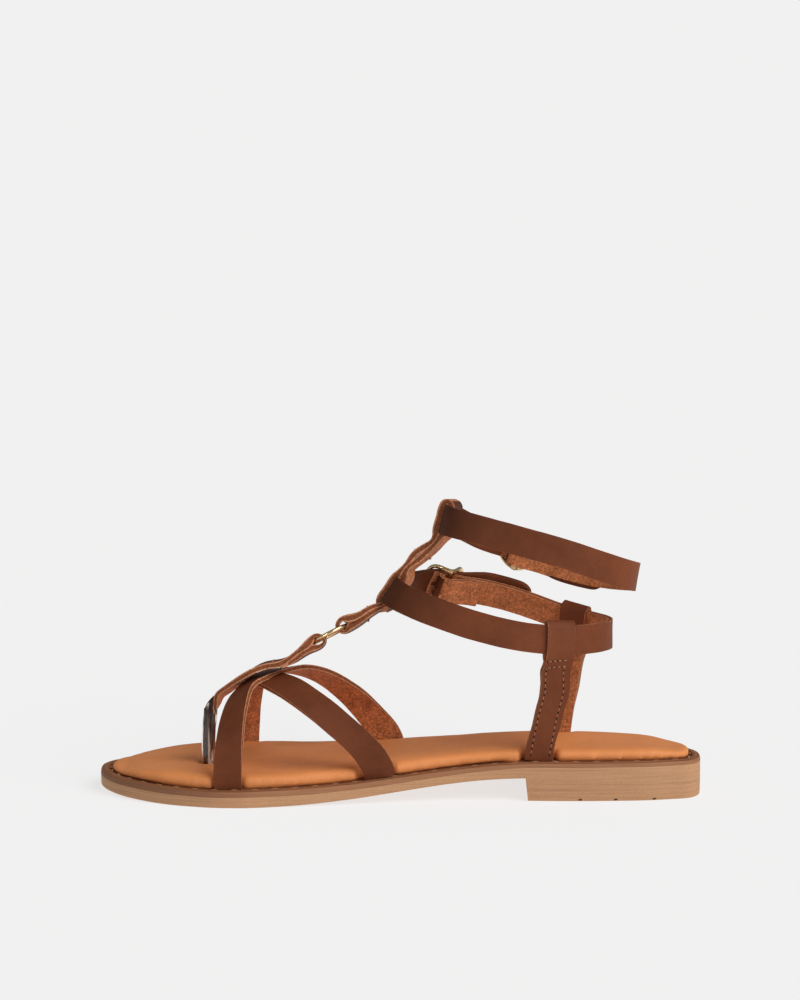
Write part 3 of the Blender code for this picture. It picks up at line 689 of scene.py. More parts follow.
def add_post(piece, straps):
    """The strap rolled up inside the sleeve, with its pleats; it takes the place of the flat end."""
    foot = Vector(POST_FOOT) * MM
    edit(piece)
    bpy.ops.mesh.select_all(action="SELECT")
    bpy.ops.mesh.bisect(plane_co=(0.0, 0.0, STRAP_CUT * MM), plane_no=(0.0, 0.0, 1.0),
                        use_fill=True, clear_inner=True)
    select_points(piece, lambda point: point.co.z < (STRAP_CUT + 1.0) * MM)
    move((straps.post_lean + 1.9 * MM, 0.0, 0.0), 8.0 * MM)
    deselect()
    bpy.ops.mesh.primitive_cylinder_add(vertices=2 * POST_PLEATS, radius=straps.post_radius,
                                        depth=POST_ROLL * MM,
                                        location=foot + Vector((0.0, 0.0, POST_ROLL * 0.5 * MM)))
    roll = bpy.context.object
    roll.name = roll.data.name = "post_roll"
    bpy.ops.object.transform_apply(location=True, rotation=True, scale=True)
    height, shift, size = POST_ROLL, 0.0, 1.0
    select_faces(roll, lambda face: face.normal.z > 0.9)
    bpy.ops.object.mode_set(mode="EDIT")
    for next_height, next_shift, next_size in POST_TOP:
        bpy.ops.mesh.extrude_region_move(TRANSFORM_OT_translate={
            "value": ((next_shift - shift) * MM, 0.0, (next_height - height) * MM)})
        bpy.ops.transform.resize(value=(next_size / size, next_size / size, 1.0))
        height, shift, size = next_height, next_shift, next_size
    leave()
    select_points(roll, lambda point: point.co.z < foot.z + (POST_ROLL + 0.8) * MM
                  and round(atan2(point.co.y - foot.y, point.co.x - foot.x) * POST_PLEATS / pi) % 2 == 0)
    bpy.ops.object.mode_set(mode="EDIT")
    bpy.ops.transform.resize(value=(0.8, 0.8, 1.0), center_override=foot)
    leave()
    subdivide(roll, 2)
    lean(roll, straps.post_lean)
    smooth(roll)
    roll.data.materials.append(made_once("post_leather", rolled_leather, tuple(straps.post_colour)))
    add_to(piece, roll)


def lean(piece, distance):
    """Leans the post, or its sleeve, towards the heel."""
    for low in (14.0, 22.0, 30.0):
        select_points(piece, lambda point: point.co.z > low * MM)
        move((distance / 3.0, 0.0, 0.0), 9.0 * MM)


BETWEEN_ANKLE_STRAPS = (9.6, 0.9, 100.4)
# Rows of stitches across the T-bar: part, middle of the row, and the side that it is on.
TBAR_SEAMS = (("lower", (-53.5, -8.4, 55.1), (0.0, 0.0, 1.0)),
              ("upper", (-11.6, -2.5, 79.0), (-0.7, 0.0, 0.7)),
              ("upper", (-13.8, -3.0, 73.0), (0.6, 0.0, -0.8)),
              ("upper", (9.6, 0.9, 100.4), (-0.8, 0.0, 0.6)),
              ("upper", (10.6, 0.9, 99.6), (0.8, 0.0, -0.6)))


class TBar(bpy.types.Operator):
    """Builds the T-bar's two parts, either side of the ring"""
    bl_idname = "sandal.tbar"
    bl_label = "T-Bar"

    def execute(self, context):
        straps = context.scene.sandal_straps

        def closed(piece):
            """Fills out the folds, brings the layers together and tightens the loops round the ring."""
            for face in piece.data.polygons:
                if face.material_index == EDGE and abs(face.normal.y) < 0.5:
                    face.material_index = GRAIN if face.normal.z > face.normal.x else SUEDE
            for reach in (9.5, 6.0):
                select_faces(piece, lambda face: face.material_index == GRAIN and face.center.x > -5.0 * MM
                             and (face.center / MM - Vector(BETWEEN_ANKLE_STRAPS)).length < reach)
                fatten(0.45 * MM)
            close_plies(piece)
            select_faces(piece, lambda face: face.material_index == SUEDE
                         and (face.center / MM - Vector(RING)).length < 11.5)
            fatten(0.4 * MM)
            for first, last in ((-70.0, -48.0), (-66.0, -51.0)):
                select_faces(piece, lambda face: face.material_index == SUEDE and face.normal.z < -0.3
                             and first < face.center.x / MM < last)
                fatten(0.35 * MM)

        def foot_side(piece):
            """Suede on the side that lies against the foot."""
            recolour(piece, [face.index for face in piece.data.polygons
                             if face.material_index == GRAIN and face.normal.x > 0.35
                             and 3.0 * MM < face.center.x < 24.0 * MM], SUEDE)

        lower = dress_strap(
            "tbar_lower", straps, shaped=closed,
            skins=(((-56.0, -8.8, 55.5), (0, 0, 1)), ((-40.2, -6.1, 57.6), (0.5, 0, -0.85)),
                   ((-36.0, -5.5, 67.6), (-0.5, 0, 0.85)), ((-30.4, -5.2, 64.4), (1, 0, 0))),
            linings=(((-56.0, -8.8, 53.7), (0, 0, -1)), ((-40.2, -6.1, 59.4), (-0.5, 0, 0.85))))
        add_post(lower, straps)
        upper = dress_strap(
            "tbar_upper", straps, shaped=closed, relined=foot_side,
            skins=(((-4.0, 0.6, 88.0), (-1, 0, 1)), ((-16.2, -3.2, 70.8), (0.6, 0, -0.8)),
                   ((-18.5, -3.5, 75.8), (-0.2, 0, 1)), ((-27.6, -4.5, 70.2), (-1, 0, 0)),
                   ((-9.0, 4.0, 80.3), (-0.9, 0.2, 0.4)), ((-11.5, 4.0, 77.0), (-0.3, 0.35, 0.9))),
            linings=(((-2.0, 0.6, 86.0), (1, 0, -1)), ((-16.2, -3.2, 72.6), (-0.6, 0, 0.8))))
        sew_tbar(lower, upper, straps)
        return {"FINISHED"}


def sew_tbar(lower, upper, straps):
    """Rows of stitches across the T-bar that hold its layers together."""
    stitch = bead("stitch", 2.1 * MM, 0.65 * MM, 0.85 * MM, tan_thread(straps))
    half_row, outside = 5.2, 4.0
    for piece, label in ((lower, "lower"), (upper, "upper")):
        places = []
        for part, middle, facing in TBAR_SEAMS:
            if part == label:
                x, y, z = [place + way * outside for place, way in zip(middle, facing)]
                row = ((x, y - half_row, z), (x, y + half_row, z))
                places += row_of_stitches(piece, row, 2.6 * MM, 0.0)
        add_to(piece, sew(stitch, places))
    bpy.data.objects.remove(stitch)


# Holes in the tails, seen from the outer side, and the stitching that holds each strap round its buckle.
LOWER_HOLES = ((26.2, 33.0, 84.0), (32.6, 35.0, 84.6), (39.0, 36.0, 84.0), (45.4, 36.0, 82.6))
UPPER_HOLES = ((58.8, 36.0, 96.0), (65.2, 36.0, 93.4), (71.6, 35.0, 90.6), (78.0, 34.0, 88.8))
HOLE_DEPTH = 1.2 * MM
LOWER_SEAM = ((30.0, 22.0, 74.8), (30.0, 20.0, 82.4))
UPPER_SEAM = ((62.5, 22.0, 89.0), (62.5, 20.0, 96.6))


class AnkleStraps(bpy.types.Operator):
    """Builds the two fastened ankle straps"""
    bl_idname = "sandal.ankle_straps"
    bl_label = "Ankle Straps"

    def execute(self, context):
        straps = context.scene.sandal_straps

        def lining_of(front, bar, heart):
            """Dark grain finish on the inside in front of the buckle and on the tail, partly painted shade;
            suede on the folded end.

            front is a place on the lining, bar the buckle bar's X and heart the middle of the loop.
            """
            def relined(piece):
                faces = piece.data.polygons
                lining = {face.index for face in faces
                          if face.material_index == SUEDE and face.center.y > 0.6 * MM}
                # The lining turned dark here is partly painted shade where it is turned away from the
                # light.
                dark = [number for number in joined_faces(piece, front, lining)
                        if not bar - 7.0 < faces[number].center.x / MM < bar + 1.0]
                recolour(piece, dark, GRAIN)
                recolour(piece, edges_beside(piece, dark), GRAIN)
                middle = Vector(heart) * MM
                folded = [face.index for face in faces
                          if face.material_index == GRAIN and face.center.y > 10.0 * MM
                          and face.normal.dot((face.center - middle).normalized()) < -0.4
                          and (bar - 6.0) * MM < face.center.x < (bar + 20.0) * MM
                          and face.index not in lining]
                recolour(piece, folded, SUEDE)
            return relined

        lower = dress_strap("ankle_strap_lower", straps,
                            relined=lining_of((2.0, 12.0, 85.0), 18.4, (45.0, 2.0, 74.0)),
                            skins=(((36.0, -27.4, 73.6), (0, -1, 0)),),
                            linings=(((36.0, -25.2, 73.6), (0, 1, 0)),))
        upper = dress_strap("ankle_strap_upper", straps,
                            relined=lining_of((26.0, 13.0, 110.0), 51.0, (62.0, 2.0, 100.0)),
                            skins=(((60.0, -25.6, 107.6), (0, -1, 0)),),
                            linings=(((60.0, -23.6, 107.6), (0, 1, 0)),))
        stitch = bead("stitch", 2.0 * MM, 0.55 * MM, 0.6 * MM, tan_thread(straps))
        for piece, holes, seam in ((lower, LOWER_HOLES, LOWER_SEAM), (upper, UPPER_HOLES, UPPER_SEAM)):
            punch(piece, holes, straps.hole_radius)
            add_to(piece, sew(stitch, row_of_stitches(piece, seam, 2.4 * MM, 0.0)))
        bpy.data.objects.remove(stitch)
        return {"FINISHED"}


def punch(piece, holes, radius):
    """Punches holes part of the way through a strap, square to its surface."""
    cutters = []
    for guess in holes:
        place, up = on_surface(piece, Vector(guess) * MM)
        deselect()
        bpy.ops.mesh.primitive_cylinder_add(vertices=16, radius=radius, depth=2.0 * HOLE_DEPTH,
                                            location=place, rotation=up.to_track_quat("Z", "Y").to_euler())
        cutters.append(bpy.context.object)
    choose(*cutters)
    bpy.ops.object.join()
    cutter = bpy.context.object
    bpy.ops.object.transform_apply(location=True, rotation=True, scale=True)
    # The walls of the holes take the painted shade of a hole.
    cutter.data.materials.append(hole_shade())
    # The fold at the buckle runs into itself: without use_self the holes would stand out as pegs.
    apply_modifier(piece, "BOOLEAN", operation="DIFFERENCE", solver="EXACT", material_mode="TRANSFER",
                   use_self=True, object=cutter)
    bpy.data.objects.remove(cutter)
    smooth(piece, 42.0)


# Middle of each quarter strap from the sole to the end of its stitching.
MEDIAL_LINE = ((59.8, -19.0, 18.6), (61.4, -19.8, 26.0), (62.5, -20.4, 31.0), (63.6, -21.0, 36.0),
               (65.1, -21.6, 41.0), (66.3, -22.2, 46.0), (66.7, -23.2, 52.8), (67.0, -23.6, 56.0),
               (67.3, -24.0, 59.4))
LATERAL_LINE = ((66.5, 26.0, 19.5), (67.2, 26.4, 26.0), (68.2, 26.6, 31.0), (69.2, 26.9, 36.0),
                (70.1, 26.9, 41.0), (70.9, 27.0, 46.0), (72.2, 26.6, 53.6), (72.5, 26.2, 57.0),
                (73.0, 26.0, 60.6))


class QuarterStraps(bpy.types.Operator):
    """Builds the straps from the sole up round the lower ankle strap, with their stitching"""
    bl_idname = "sandal.quarter_straps"
    bl_label = "Quarter Straps"

    def execute(self, context):
        straps = context.scene.sandal_straps

        def inner_side(side):
            """Suede on the side that lies against the foot."""
            def relined(piece):
                recolour(piece, [face.index for face in piece.data.polygons
                                 if face.material_index == GRAIN and face.normal.y * side < -0.3
                                 and face.center.z < 60.0 * MM], SUEDE)
            return relined

        def straightened(*bends):
            """Each bend is a height, how far the strap moves there towards the heel, and its reach."""
            def shaped(piece):
                lengthen_ends(piece)
                for middle, shift, reach in bends:
                    select_points(piece, lambda point: abs(point.co.z / MM - middle) < 4.0)
                    move((shift * MM, 0.0, 0.0), reach * MM)
            return shaped

        medial = dress_strap("quarter_strap_medial", straps, relined=inner_side(-1),
                             shaped=straightened((36.0, 1.5, 14.0), (46.0, 1.4, 6.0), (58.5, -0.4, 7.0)),
                             skins=(((62.0, -23.0, 36.0), (0, -1, 0)),),
                             linings=(((62.0, -21.1, 36.0), (0, 1, 0)),))
        lateral = dress_strap("quarter_strap_lateral", straps, relined=inner_side(1),
                              shaped=straightened((46.0, 1.0, 12.0)),
                              skins=(((68.0, 28.9, 36.0), (0, 1, 0)),),
                              linings=(((68.0, 27.0, 36.0), (0, -1, 0)),))
        for piece, side, line in ((medial, -1, MEDIAL_LINE), (lateral, 1, LATERAL_LINE)):
            sew_quarter(piece, side, line, straps)
        return {"FINISHED"}


def sew_quarter(piece, side, line, straps):
    """Two rows of stitches down a strap, joined by a double row across it."""
    stitch = bead("stitch", 1.75 * MM, 0.5 * MM, 0.42 * MM, tan_thread(straps))
    # Painted shade: dark flat beads where the needle's holes are.
    hole = bead("pinhole", 0.95 * MM, 0.72 * MM, 0.26 * MM, hole_shade())
    pitch = straps.stitch_pitch
    outside = side * 6.0
    left, right = [[(x + shift, y + outside, z) for x, y, z in line] for shift in (-3.9, 4.1)]
    down = [(row[:-1], pitch, 0.08 * MM) for row in (left, right)]
    across = [((left[end], right[end]), pitch * 0.8, 0.0) for end in (-1, -2)]
    threads, holes = [], []
    for row, step, sink in down + across:
        threads += row_of_stitches(piece, row, step, sink)
        holes += [(place - along.normalized() * step * 0.5, along, up)
                  for place, along, up in row_of_stitches(piece, row, step, 0.0)]
    add_to(piece, sew(stitch, threads), sew(hole, holes))
    for pattern in (stitch, hole):
        bpy.data.objects.remove(pattern)


# ---------------------------------------------------------------- sole

class SandalSole(bpy.types.PropertyGroup):
    """Layers of the sole."""
    footbed_colour: FloatVectorProperty(
        name="Footbed", description="Colour of the insole's leather",
        subtype="COLOR", size=3, min=0.0, max=1.0, default=(0.80, 0.290, 0.092))
    midsole_colour: FloatVectorProperty(
        name="Midsole", description="Colour of the brown layer under the insole",
        subtype="COLOR", size=3, min=0.0, max=1.0, default=(0.35, 0.152, 0.072))
    outsole_colour: FloatVectorProperty(
        name="Outsole", description="Colour of the sole and heel",
        subtype="COLOR", size=3, min=0.0, max=1.0, default=(0.52, 0.275, 0.140))
    # The midsole's dark top beside the groove is partly painted shade from the insole's edge above it.
    dark_top_colour: FloatVectorProperty(
        name="Dark Top", description="Colour of the midsole's top beside the groove",
        subtype="COLOR", size=3, min=0.0, max=1.0, default=(0.26, 0.098, 0.038))
    # The groove is coloured darker as painted shade, on top of the shade from its own depth.
    groove_colour: FloatVectorProperty(
        name="Groove", description="Colour of the groove beside the insole",
        subtype="COLOR", size=3, min=0.0, max=1.0, default=(0.20, 0.058, 0.018))
    thread_colour: FloatVectorProperty(
        name="Thread", description="Colour of the thread in the groove",
        subtype="COLOR", size=3, min=0.0, max=1.0, default=(0.50, 0.26, 0.12))
    stitch_pitch: FloatProperty(
        name="Stitch Pitch", description="Distance from one stitch in the groove to the next",
        subtype="DISTANCE", unit="LENGTH", min=0.001, default=0.0085)
    groove_place: FloatProperty(
        name="Groove Place", description="From the rounded edge of the midsole to the groove",
        subtype="DISTANCE", unit="LENGTH", min=0.0, default=0.0021)
    groove_width: FloatProperty(
        name="Groove Width", description="Width of the groove beside the insole",
        subtype="DISTANCE", unit="LENGTH", min=0.0, default=0.0012)
    seam_lift: FloatProperty(
        name="Seam Lift", description="How far the seam of midsole and outsole is raised along the sides",
        subtype="DISTANCE", unit="LENGTH", min=0.0, max=0.0015, default=0.0009)
    crown: FloatProperty(
        name="Crown", description="Extra height of the insole's padding",
        subtype="DISTANCE", unit="LENGTH", min=0.0, default=0.0008)
    groove_depth: FloatProperty(
        name="Groove Depth", description="Depth of the groove beside the insole",
        subtype="DISTANCE", unit="LENGTH", min=0.0, default=0.0007)


def footbed_leather(name, colour):
    """Fine printed grain over soft padding."""
    r = Recipe(name)
    patches = r.ramp(r.noise(24.0, 6.0, 0.55), (0.3, shade(colour, 0.88)), (0.5, colour),
                     (0.72, shade(colour, 1.1)))
    print_grain = r.cells(1100.0)
    base = r.mix(1.0, patches, r.ramp(print_grain, (0.0, 0.86), (0.4, 1.0)), "MULTIPLY")
    gloss = r.ramp(r.noise(300.0, 3.0), (0.3, 0.5), (0.7, 0.62))
    return r.finish(base_color=base, roughness=gloss, normal=r.bump(print_grain, 0.3, 0.00015),
                    specular_ior_level=0.25)


def board(name, colour, toe=1.0):
    """Pressed leather board with fine layers along the side; toe darkens it round the toes."""
    r = Recipe(name)
    layers = r.noise(1.0, 5.0, 0.6, at=r.stretched((60.0, 60.0, 2600.0)))
    base = r.ramp(layers, (0.3, shade(colour, 0.78)), (0.52, colour), (0.75, shade(colour, 1.16)))
    scuffs = r.ramp(r.noise(210.0, 6.0, 0.7), (0.62, 0.0), (0.78, 1.0))
    base = r.mix(r.math("MULTIPLY", scuffs, 0.35), base, shade(colour, 1.6))
    place = r.node("SeparateXYZ", {"Vector": r.place})
    base = r.mix(1.0, base, r.between(place.outputs["X"], -0.085, -0.045, toe, 1.0), "MULTIPLY")
    relief = r.bump(layers, 0.35, 0.00025)
    return r.finish(base_color=base, roughness=0.68, normal=relief, specular_ior_level=0.25)


def stacked(name, colour):
    """Sole material with fine ground lines along its side."""
    r = Recipe(name)
    lines = r.noise(1.0, 4.0, 0.55, at=r.stretched((26.0, 26.0, 1700.0)))
    base = r.ramp(lines, (0.28, shade(colour, 0.8)), (0.5, colour), (0.75, shade(colour, 1.12)))
    dots = r.ramp(r.noise(1400.0, 3.0), (0.3, 0.9), (0.7, 1.04))
    base = r.mix(1.0, base, dots, "MULTIPLY")
    relief = r.bump(lines, 0.4, 0.0003)
    return r.finish(base_color=base, roughness=0.62, normal=relief, specular_ior_level=0.25)


def tight_rim(piece, side):
    """A very fine round along the edge of one flat side, where two layers of the sole meet.

    side(face) tells which faces belong to that side.
    """
    mesh = piece.data
    flat = {face.index for face in mesh.polygons if side(face)}
    select_edges(piece, [number for number, faces in edge_faces(mesh).items()
                         if len(flat.intersection(faces)) == 1])
    bpy.ops.object.mode_set(mode="EDIT")
    bpy.ops.mesh.bevel(offset=0.04 * MM, segments=3)
    leave()


# What is closed of the gap between midsole and outsole.
GLUE_GAP = 0.27 * MM
# Slope of the groove's sides, measured across.
GROOVE_WALL = 0.15 * MM
# Material slots on the midsole, after the one of its side.
DARK_TOP, GROOVE = 1, 2
# Small dark nicks along the foot of the heel: places beside them.
NICKS = ((77.4, -34.0), (92.6, -32.0), (110.0, -30.0), (92.0, 32.0))


class Outsole(bpy.types.Operator):
    """Builds the outsole with its heel and tread"""
    bl_idname = "sandal.outsole"
    bl_label = "Outsole"

    def execute(self, context):
        piece = copy_of("outsole")
        sole = context.scene.sandal_sole
        piece.data.materials.append(stacked("sole_tan", tuple(sole.outsole_colour)))
        select_faces(piece, faces_up)
        move((0.0, 0.0, sole.seam_lift))
        tight_rim(piece, faces_up)
        select_faces(piece, lambda face: face.normal.z < -0.98 and face.center.z < 1.2 * MM)
        bpy.ops.object.mode_set(mode="EDIT")
        bpy.ops.mesh.inset(thickness=3.5 * MM, depth=0.0, use_even_offset=False)
        bpy.ops.mesh.inset(use_individual=True, thickness=0.6 * MM, depth=-0.5 * MM, use_even_offset=False)
        leave()
        round_corners(piece, 0.0003, 35.0)
        subdivide(piece, 1)
        smooth(piece, 30.0)
        nick = bead("nick", 1.7 * MM, 0.8 * MM, 0.4 * MM, made_once("nick", cut_edge, (0.05, 0.022, 0.01)))
        places = []
        for x, y in NICKS:
            place, up = on_surface(piece, Vector((x, y, 0.3)) * MM)
            places.append((place, Vector((1.0, 0.0, 0.0)), up))
        add_to(piece, sew(nick, places))
        bpy.data.objects.remove(nick)
        finish_piece(piece, "tan_sole", "outsole")
        return {"FINISHED"}


class Midsole(bpy.types.Operator):
    """Builds the brown layer with its stitched groove"""
    bl_idname = "sandal.midsole"
    bl_label = "Midsole"

    def execute(self, context):
        sole = context.scene.sandal_sole
        piece = copy_of("midsole")
        for finish in (board("midsole_brown", tuple(sole.midsole_colour), 0.74),
                       board("dark_top_brown", tuple(sole.dark_top_colour)),
                       board("groove_brown", tuple(sole.groove_colour))):
            piece.data.materials.append(finish)
        select_faces(piece, faces_down)
        move((0.0, 0.0, sole.seam_lift - GLUE_GAP))
        tight_rim(piece, faces_down)
        # Painted shade, in part: the rounded top edge and the bands beside the groove are darker.
        recolour(piece, [face.index for face in piece.data.polygons
                         if face.normal.z > 0.62 and not faces_up(face)], DARK_TOP)
        select_faces(piece, faces_up)
        bpy.ops.object.mode_set(mode="EDIT")
        # From the rim inwards: width and rise of each band, and its finish where that changes.
        # The groove's finish is painted shade in the groove.
        for width, depth, slot in ((sole.groove_place * 0.4, 0.0, DARK_TOP),
                                   (sole.groove_place * 0.6, 0.0, None),
                                   (GROOVE_WALL, -sole.groove_depth, GROOVE),
                                   (sole.groove_width, 0.0, None),
                                   (GROOVE_WALL, sole.groove_depth, DARK_TOP)):
            bpy.ops.mesh.inset(thickness=width, depth=depth)
            if slot is not None:
                piece.active_material_index = slot
                bpy.ops.object.material_slot_assign()
        leave()
        channel = [face.center / MM for face in piece.data.polygons
                   if face.material_index == GROOVE and face.normal.z > 0.9]
        round_corners(piece, 0.0002, 35.0)
        subdivide(piece, 1)
        smooth(piece, 30.0)
        channel.sort(key=lambda place: atan2(place.y * 2.8, place.x))
        stitch = bead("stitch", 3.4 * MM, 0.8 * MM, 0.7 * MM,
                      made_once("thread_pale", thread, tuple(sole.thread_colour)))
        places = row_of_stitches(piece, channel + channel[:1], sole.stitch_pitch, -0.45 * MM)
        add_to(piece, sew(stitch, places))
        bpy.data.objects.remove(stitch)
        finish_piece(piece, "brown_midsole", "midsole")
        return {"FINISHED"}


class Insole(bpy.types.Operator):
    """Builds the padded insole"""
    bl_idname = "sandal.insole"
    bl_label = "Insole"

    def execute(self, context):
        sole = context.scene.sandal_sole
        piece = copy_of("insole")
        piece.data.materials.append(footbed_leather("footbed_tan", tuple(sole.footbed_colour)))
        apply_modifier(piece, "REMESH", mode="VOXEL", voxel_size=1.1 * MM)
        apply_modifier(piece, "SMOOTH", factor=0.5, iterations=4)
        for share, half_width, reach in ((1.0, 60.0, 4.5), (0.4, 4.0, 34.0)):
            select_points(piece, lambda point: point.normal.z > 0.92 and abs(point.co.y) < half_width * MM)
            move((0.0, 0.0, sole.crown * share), reach * MM)
        # Thinner at the toe, then at the heel: towards which end, from where, the height that stays.
        for side, start, floor, share, falloff, reach in ((-1.0, 116.0, 8.2, 0.35, "SHARP", 32.0),
                                                          (1.0, 119.0, 16.7, 0.72, "SMOOTH", 16.0)):
            select_points(piece, lambda point: point.co.x * side > start * MM)
            bpy.ops.object.mode_set(mode="EDIT")
            bpy.ops.transform.resize(value=(1.0, 1.0, share), center_override=(0.0, 0.0, floor * MM),
                                     use_proportional_edit=True, proportional_edit_falloff=falloff,
                                     proportional_size=reach * MM)
            leave()
        # The lower edge goes down all along, and once more at the heel.
        for start in (-200.0, 45.0):
            select_points(piece, lambda point: point.normal.z < -0.2 and point.co.x > start * MM)
            move((0.0, 0.0, -0.5 * MM), 1.6 * MM)
        displace(piece, "soft", 0.03, 0.7 * MM)
        smooth(piece)
        finish_piece(piece, "tan_leather", "insole")
        return {"FINISHED"}


# ---------------------------------------------------------------- metal and sleeve

class SandalMetal(bpy.types.PropertyGroup):
    """Ring, buckles and sleeve."""
    gold_colour: FloatVectorProperty(
        name="Gold", description="Colour of the ring and buckles",
        subtype="COLOR", size=3, min=0.0, max=1.0, default=(0.80, 0.60, 0.33))


def polished(name, colour):
    """Polished metal, a little uneven."""
    r = Recipe(name)
    base = r.ramp(r.noise(300.0, 4.0), (0.3, shade(colour, 0.85)), (0.7, colour))
    gloss = r.ramp(r.noise(900.0, 4.0), (0.3, 0.16), (0.7, 0.3))
    return r.finish(base_color=base, roughness=gloss, metallic=1.0)


def clear(name):
    """Clear plastic with a faint warm tint."""
    r = Recipe(name)
    gloss = r.ramp(r.noise(200.0, 3.0), (0.3, 0.04), (0.7, 0.12))
    relief = r.bump(r.noise(150.0, 2.0), 0.15, 0.0004)
    return r.finish(base_color=(0.95, 0.87, 0.82), roughness=gloss, normal=relief,
                    transmission_weight=1.0, ior=1.42)


class Hardware(bpy.types.Operator):
    """Builds the ring, the buckles and their prongs"""
    bl_idname = "sandal.hardware"
    bl_label = "Ring And Buckles"

    def execute(self, context):
        gold = polished("gold", tuple(context.scene.sandal_metal.gold_colour))
        for node in ("ring", "buckle_lower", "buckle_upper", "prong_lower", "prong_upper"):
            piece = copy_of(node)
            piece.data.materials.append(gold)
            round_corners(piece, 0.00025, 50.0)
            subdivide(piece, 2 if node == "ring" else 1)
            smooth(piece)
            finish_piece(piece, "gold_metal", node)
        return {"FINISHED"}


class Sleeve(bpy.types.Operator):
    """Builds the clear sleeve round the toe post"""
    bl_idname = "sandal.sleeve"
    bl_label = "Post Sleeve"

    def execute(self, context):
        piece = copy_of("post_sleeve")
        piece.data.materials.append(clear("clear_sleeve"))
        round_corners(piece, 0.00018, 60.0)
        edit(piece)
        for height in (13.0, 18.0, 23.0, 28.0, 32.0):
            bpy.ops.mesh.select_all(action="SELECT")
            bpy.ops.mesh.bisect(plane_co=(0.0, 0.0, height * MM), plane_no=(0.0, 0.0, 1.0))
        leave()
        lean(piece, context.scene.sandal_straps.post_lean)
        select_points(piece, lambda point: point.co.z > 34.0 * MM)
        move((0.7 * MM, 0.0, 1.5 * MM), 8.0 * MM)
        smooth(piece, 40.0)
        finish_piece(piece, "clear_plastic", "post_sleeve")
        return {"FINISHED"}


# ---------------------------------------------------------------- stage

class SandalStage(bpy.types.PropertyGroup):
    """Camera, lights and floor."""
    azimuth: FloatProperty(name="Azimuth", description="Turn of the camera round the sandal",
                           subtype="ANGLE", unit="ROTATION", default=radians(2.5))
    elevation: FloatProperty(name="Elevation", description="Height of the camera as an angle",
                             subtype="ANGLE", unit="ROTATION", default=radians(11.5))
    distance: FloatProperty(name="Distance", description="From the camera to the middle of the sole",
                            subtype="DISTANCE", unit="LENGTH", default=1.8)
    lens: FloatProperty(name="Lens", description="Focal length", subtype="DISTANCE_CAMERA",
                        unit="CAMERA", default=151.63)
    tilt: FloatProperty(name="Tilt", description="How far the camera looks over the sole",
                        subtype="ANGLE", unit="ROTATION", default=0.06802)
    floor_colour: FloatVectorProperty(
        name="Floor", description="Colour of the floor",
        subtype="COLOR", size=3, min=0.0, max=1.0, default=(0.26, 0.26, 0.26))
    floor_glow: FloatProperty(name="Floor Glow", description="Light that the floor gives off by itself",
                              min=0.0, default=0.700)
    sky: FloatProperty(name="Soft Light", description="Strength of the light all round",
                       min=0.0, default=0.25)
    strips: FloatProperty(name="Strip Lights", description="Power of the two tall lights",
                          subtype="POWER", unit="POWER", min=0.0, default=4.5)
    key: FloatProperty(name="Key Light", description="Strength of the main light", min=0.0, default=2.2)


def add_camera(stage):
    """Camera that looks at the inner side of the foot."""
    back = Vector((sin(stage.azimuth) * cos(stage.elevation), -cos(stage.azimuth) * cos(stage.elevation),
                   sin(stage.elevation)))
    aim = (-back).to_track_quat("-Z", "Y").to_matrix() @ Matrix.Rotation(stage.tilt, 3, "X")
    sole_middle = Vector((0.0, 2.6 * MM, 0.0))
    bpy.ops.object.camera_add(location=back * stage.distance + sole_middle, rotation=aim.to_euler())
    camera = bpy.context.object
    camera.data.lens = stage.lens
    camera.data.sensor_width = 36.0
    camera.data.dof.use_dof = False
    bpy.context.scene.camera = camera


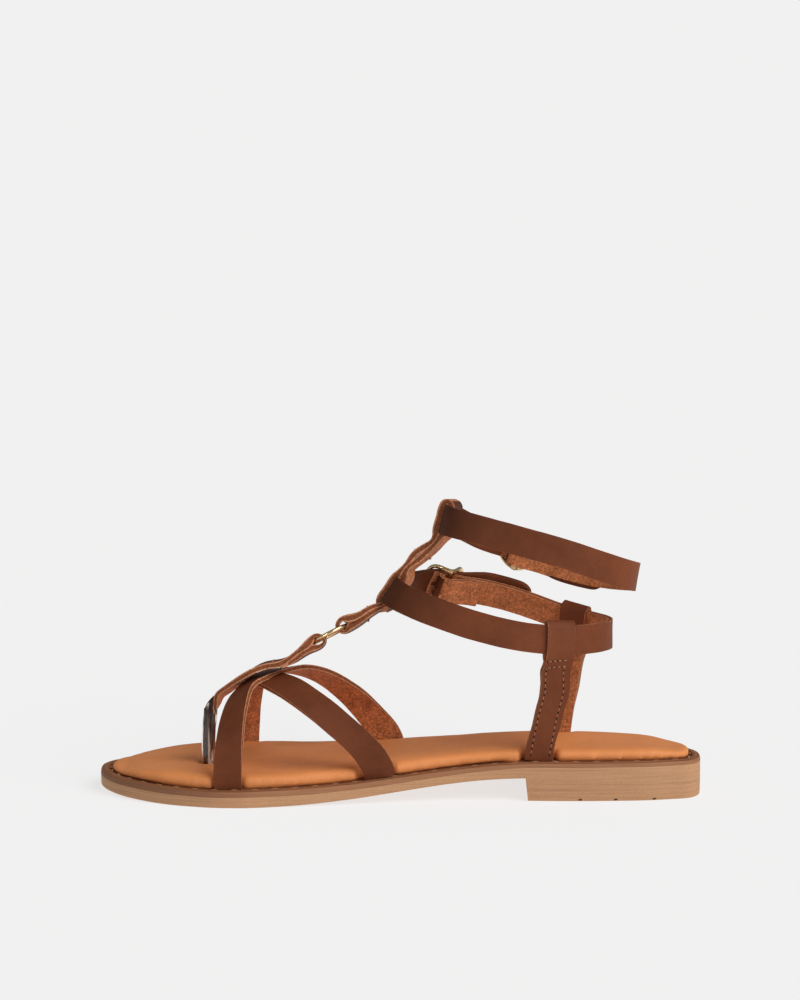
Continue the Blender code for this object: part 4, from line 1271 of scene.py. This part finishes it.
class Stage(bpy.types.Operator):
    """Sets up the floor, the lights and the camera"""
    bl_idname = "sandal.stage"
    bl_label = "Stage"

    def execute(self, context):
        stage = context.scene.sandal_stage
        deselect()
        # The floor reaches far behind the sandal, so that its end isn't seen.
        bpy.ops.mesh.primitive_plane_add(size=80.0, location=(0.0, 20.0, 0.0))
        floor = context.object
        floor.name = "floor"
        bpy.ops.object.transform_apply(location=True, rotation=True, scale=True)
        pale = bpy.data.materials.new("floor_pale")
        pale.use_nodes = True
        for socket, value in (("Base Color", (*stage.floor_colour, 1.0)), ("Roughness", 0.9),
                              ("Specular IOR Level", 0.0), ("Emission Color", (1.0, 1.0, 1.0, 1.0)),
                              ("Emission Strength", stage.floor_glow)):
            pale.node_tree.nodes["Principled BSDF"].inputs[socket].default_value = value
        floor.data.materials.append(pale)

        world = bpy.data.worlds.new("studio")
        world.use_nodes = True
        sky = world.node_tree.nodes["Background"]
        sky.inputs["Color"].default_value = (1.0, 0.98, 0.96, 1.0)
        sky.inputs["Strength"].default_value = stage.sky
        context.scene.world = world
        bpy.ops.object.light_add(type="SUN", location=(0.5, -1.0, 1.5),
                                 rotation=(radians(51), 0.0, radians(54)))
        sun = context.object
        sun.data.energy = stage.key
        sun.data.angle = radians(50)
        for turn in (radians(-38.0), radians(32.0)):
            bpy.ops.object.light_add(type="AREA", location=(1.5 * sin(turn), -1.5 * cos(turn), 0.55),
                                     rotation=(radians(72), 0.0, turn))
            strip = context.object
            strip.data.shape = "RECTANGLE"
            strip.data.size, strip.data.size_y = 0.12, 1.0
            strip.data.energy = stage.strips
            strip.visible_diffuse = False
        add_camera(stage)
        context.scene.view_settings.view_transform = "Standard"
        return {"FINISHED"}


class SandalPanel(bpy.types.Panel):
    """Lists the sandal's pieces in the sidebar."""
    bl_idname = "VIEW3D_PT_sandal"
    bl_label = "Toe Post Sandal"
    bl_space_type = "VIEW_3D"
    bl_region_type = "UI"
    bl_category = "Sandal"

    def draw(self, context):
        for operator in OPERATORS:
            self.layout.operator(operator.bl_idname)


GROUPS = {"sandal_straps": SandalStraps, "sandal_sole": SandalSole, "sandal_metal": SandalMetal,
          "sandal_stage": SandalStage}
OPERATORS = (Outsole, Midsole, Insole, CrossStraps, TBar, AnkleStraps, QuarterStraps, Hardware, Sleeve,
             Stage)


def register():
    """Makes the panel, the operators and their values known to Blender."""
    for group in GROUPS.values():
        bpy.utils.register_class(group)
    for name, group in GROUPS.items():
        setattr(bpy.types.Scene, name, PointerProperty(type=group))
    for item in (*OPERATORS, SandalPanel):
        bpy.utils.register_class(item)


def unregister():
    """Takes them out again."""
    for item in reversed((*OPERATORS, SandalPanel)):
        bpy.utils.unregister_class(item)
    for name, group in GROUPS.items():
        delattr(bpy.types.Scene, name)
        bpy.utils.unregister_class(group)


def main():
    """Builds every piece in order."""
    register()
    for operator in OPERATORS:
        group, action = operator.bl_idname.split(".")
        getattr(getattr(bpy.ops, group), action)()
    deselect()


if __name__ == "__main__":
    main()
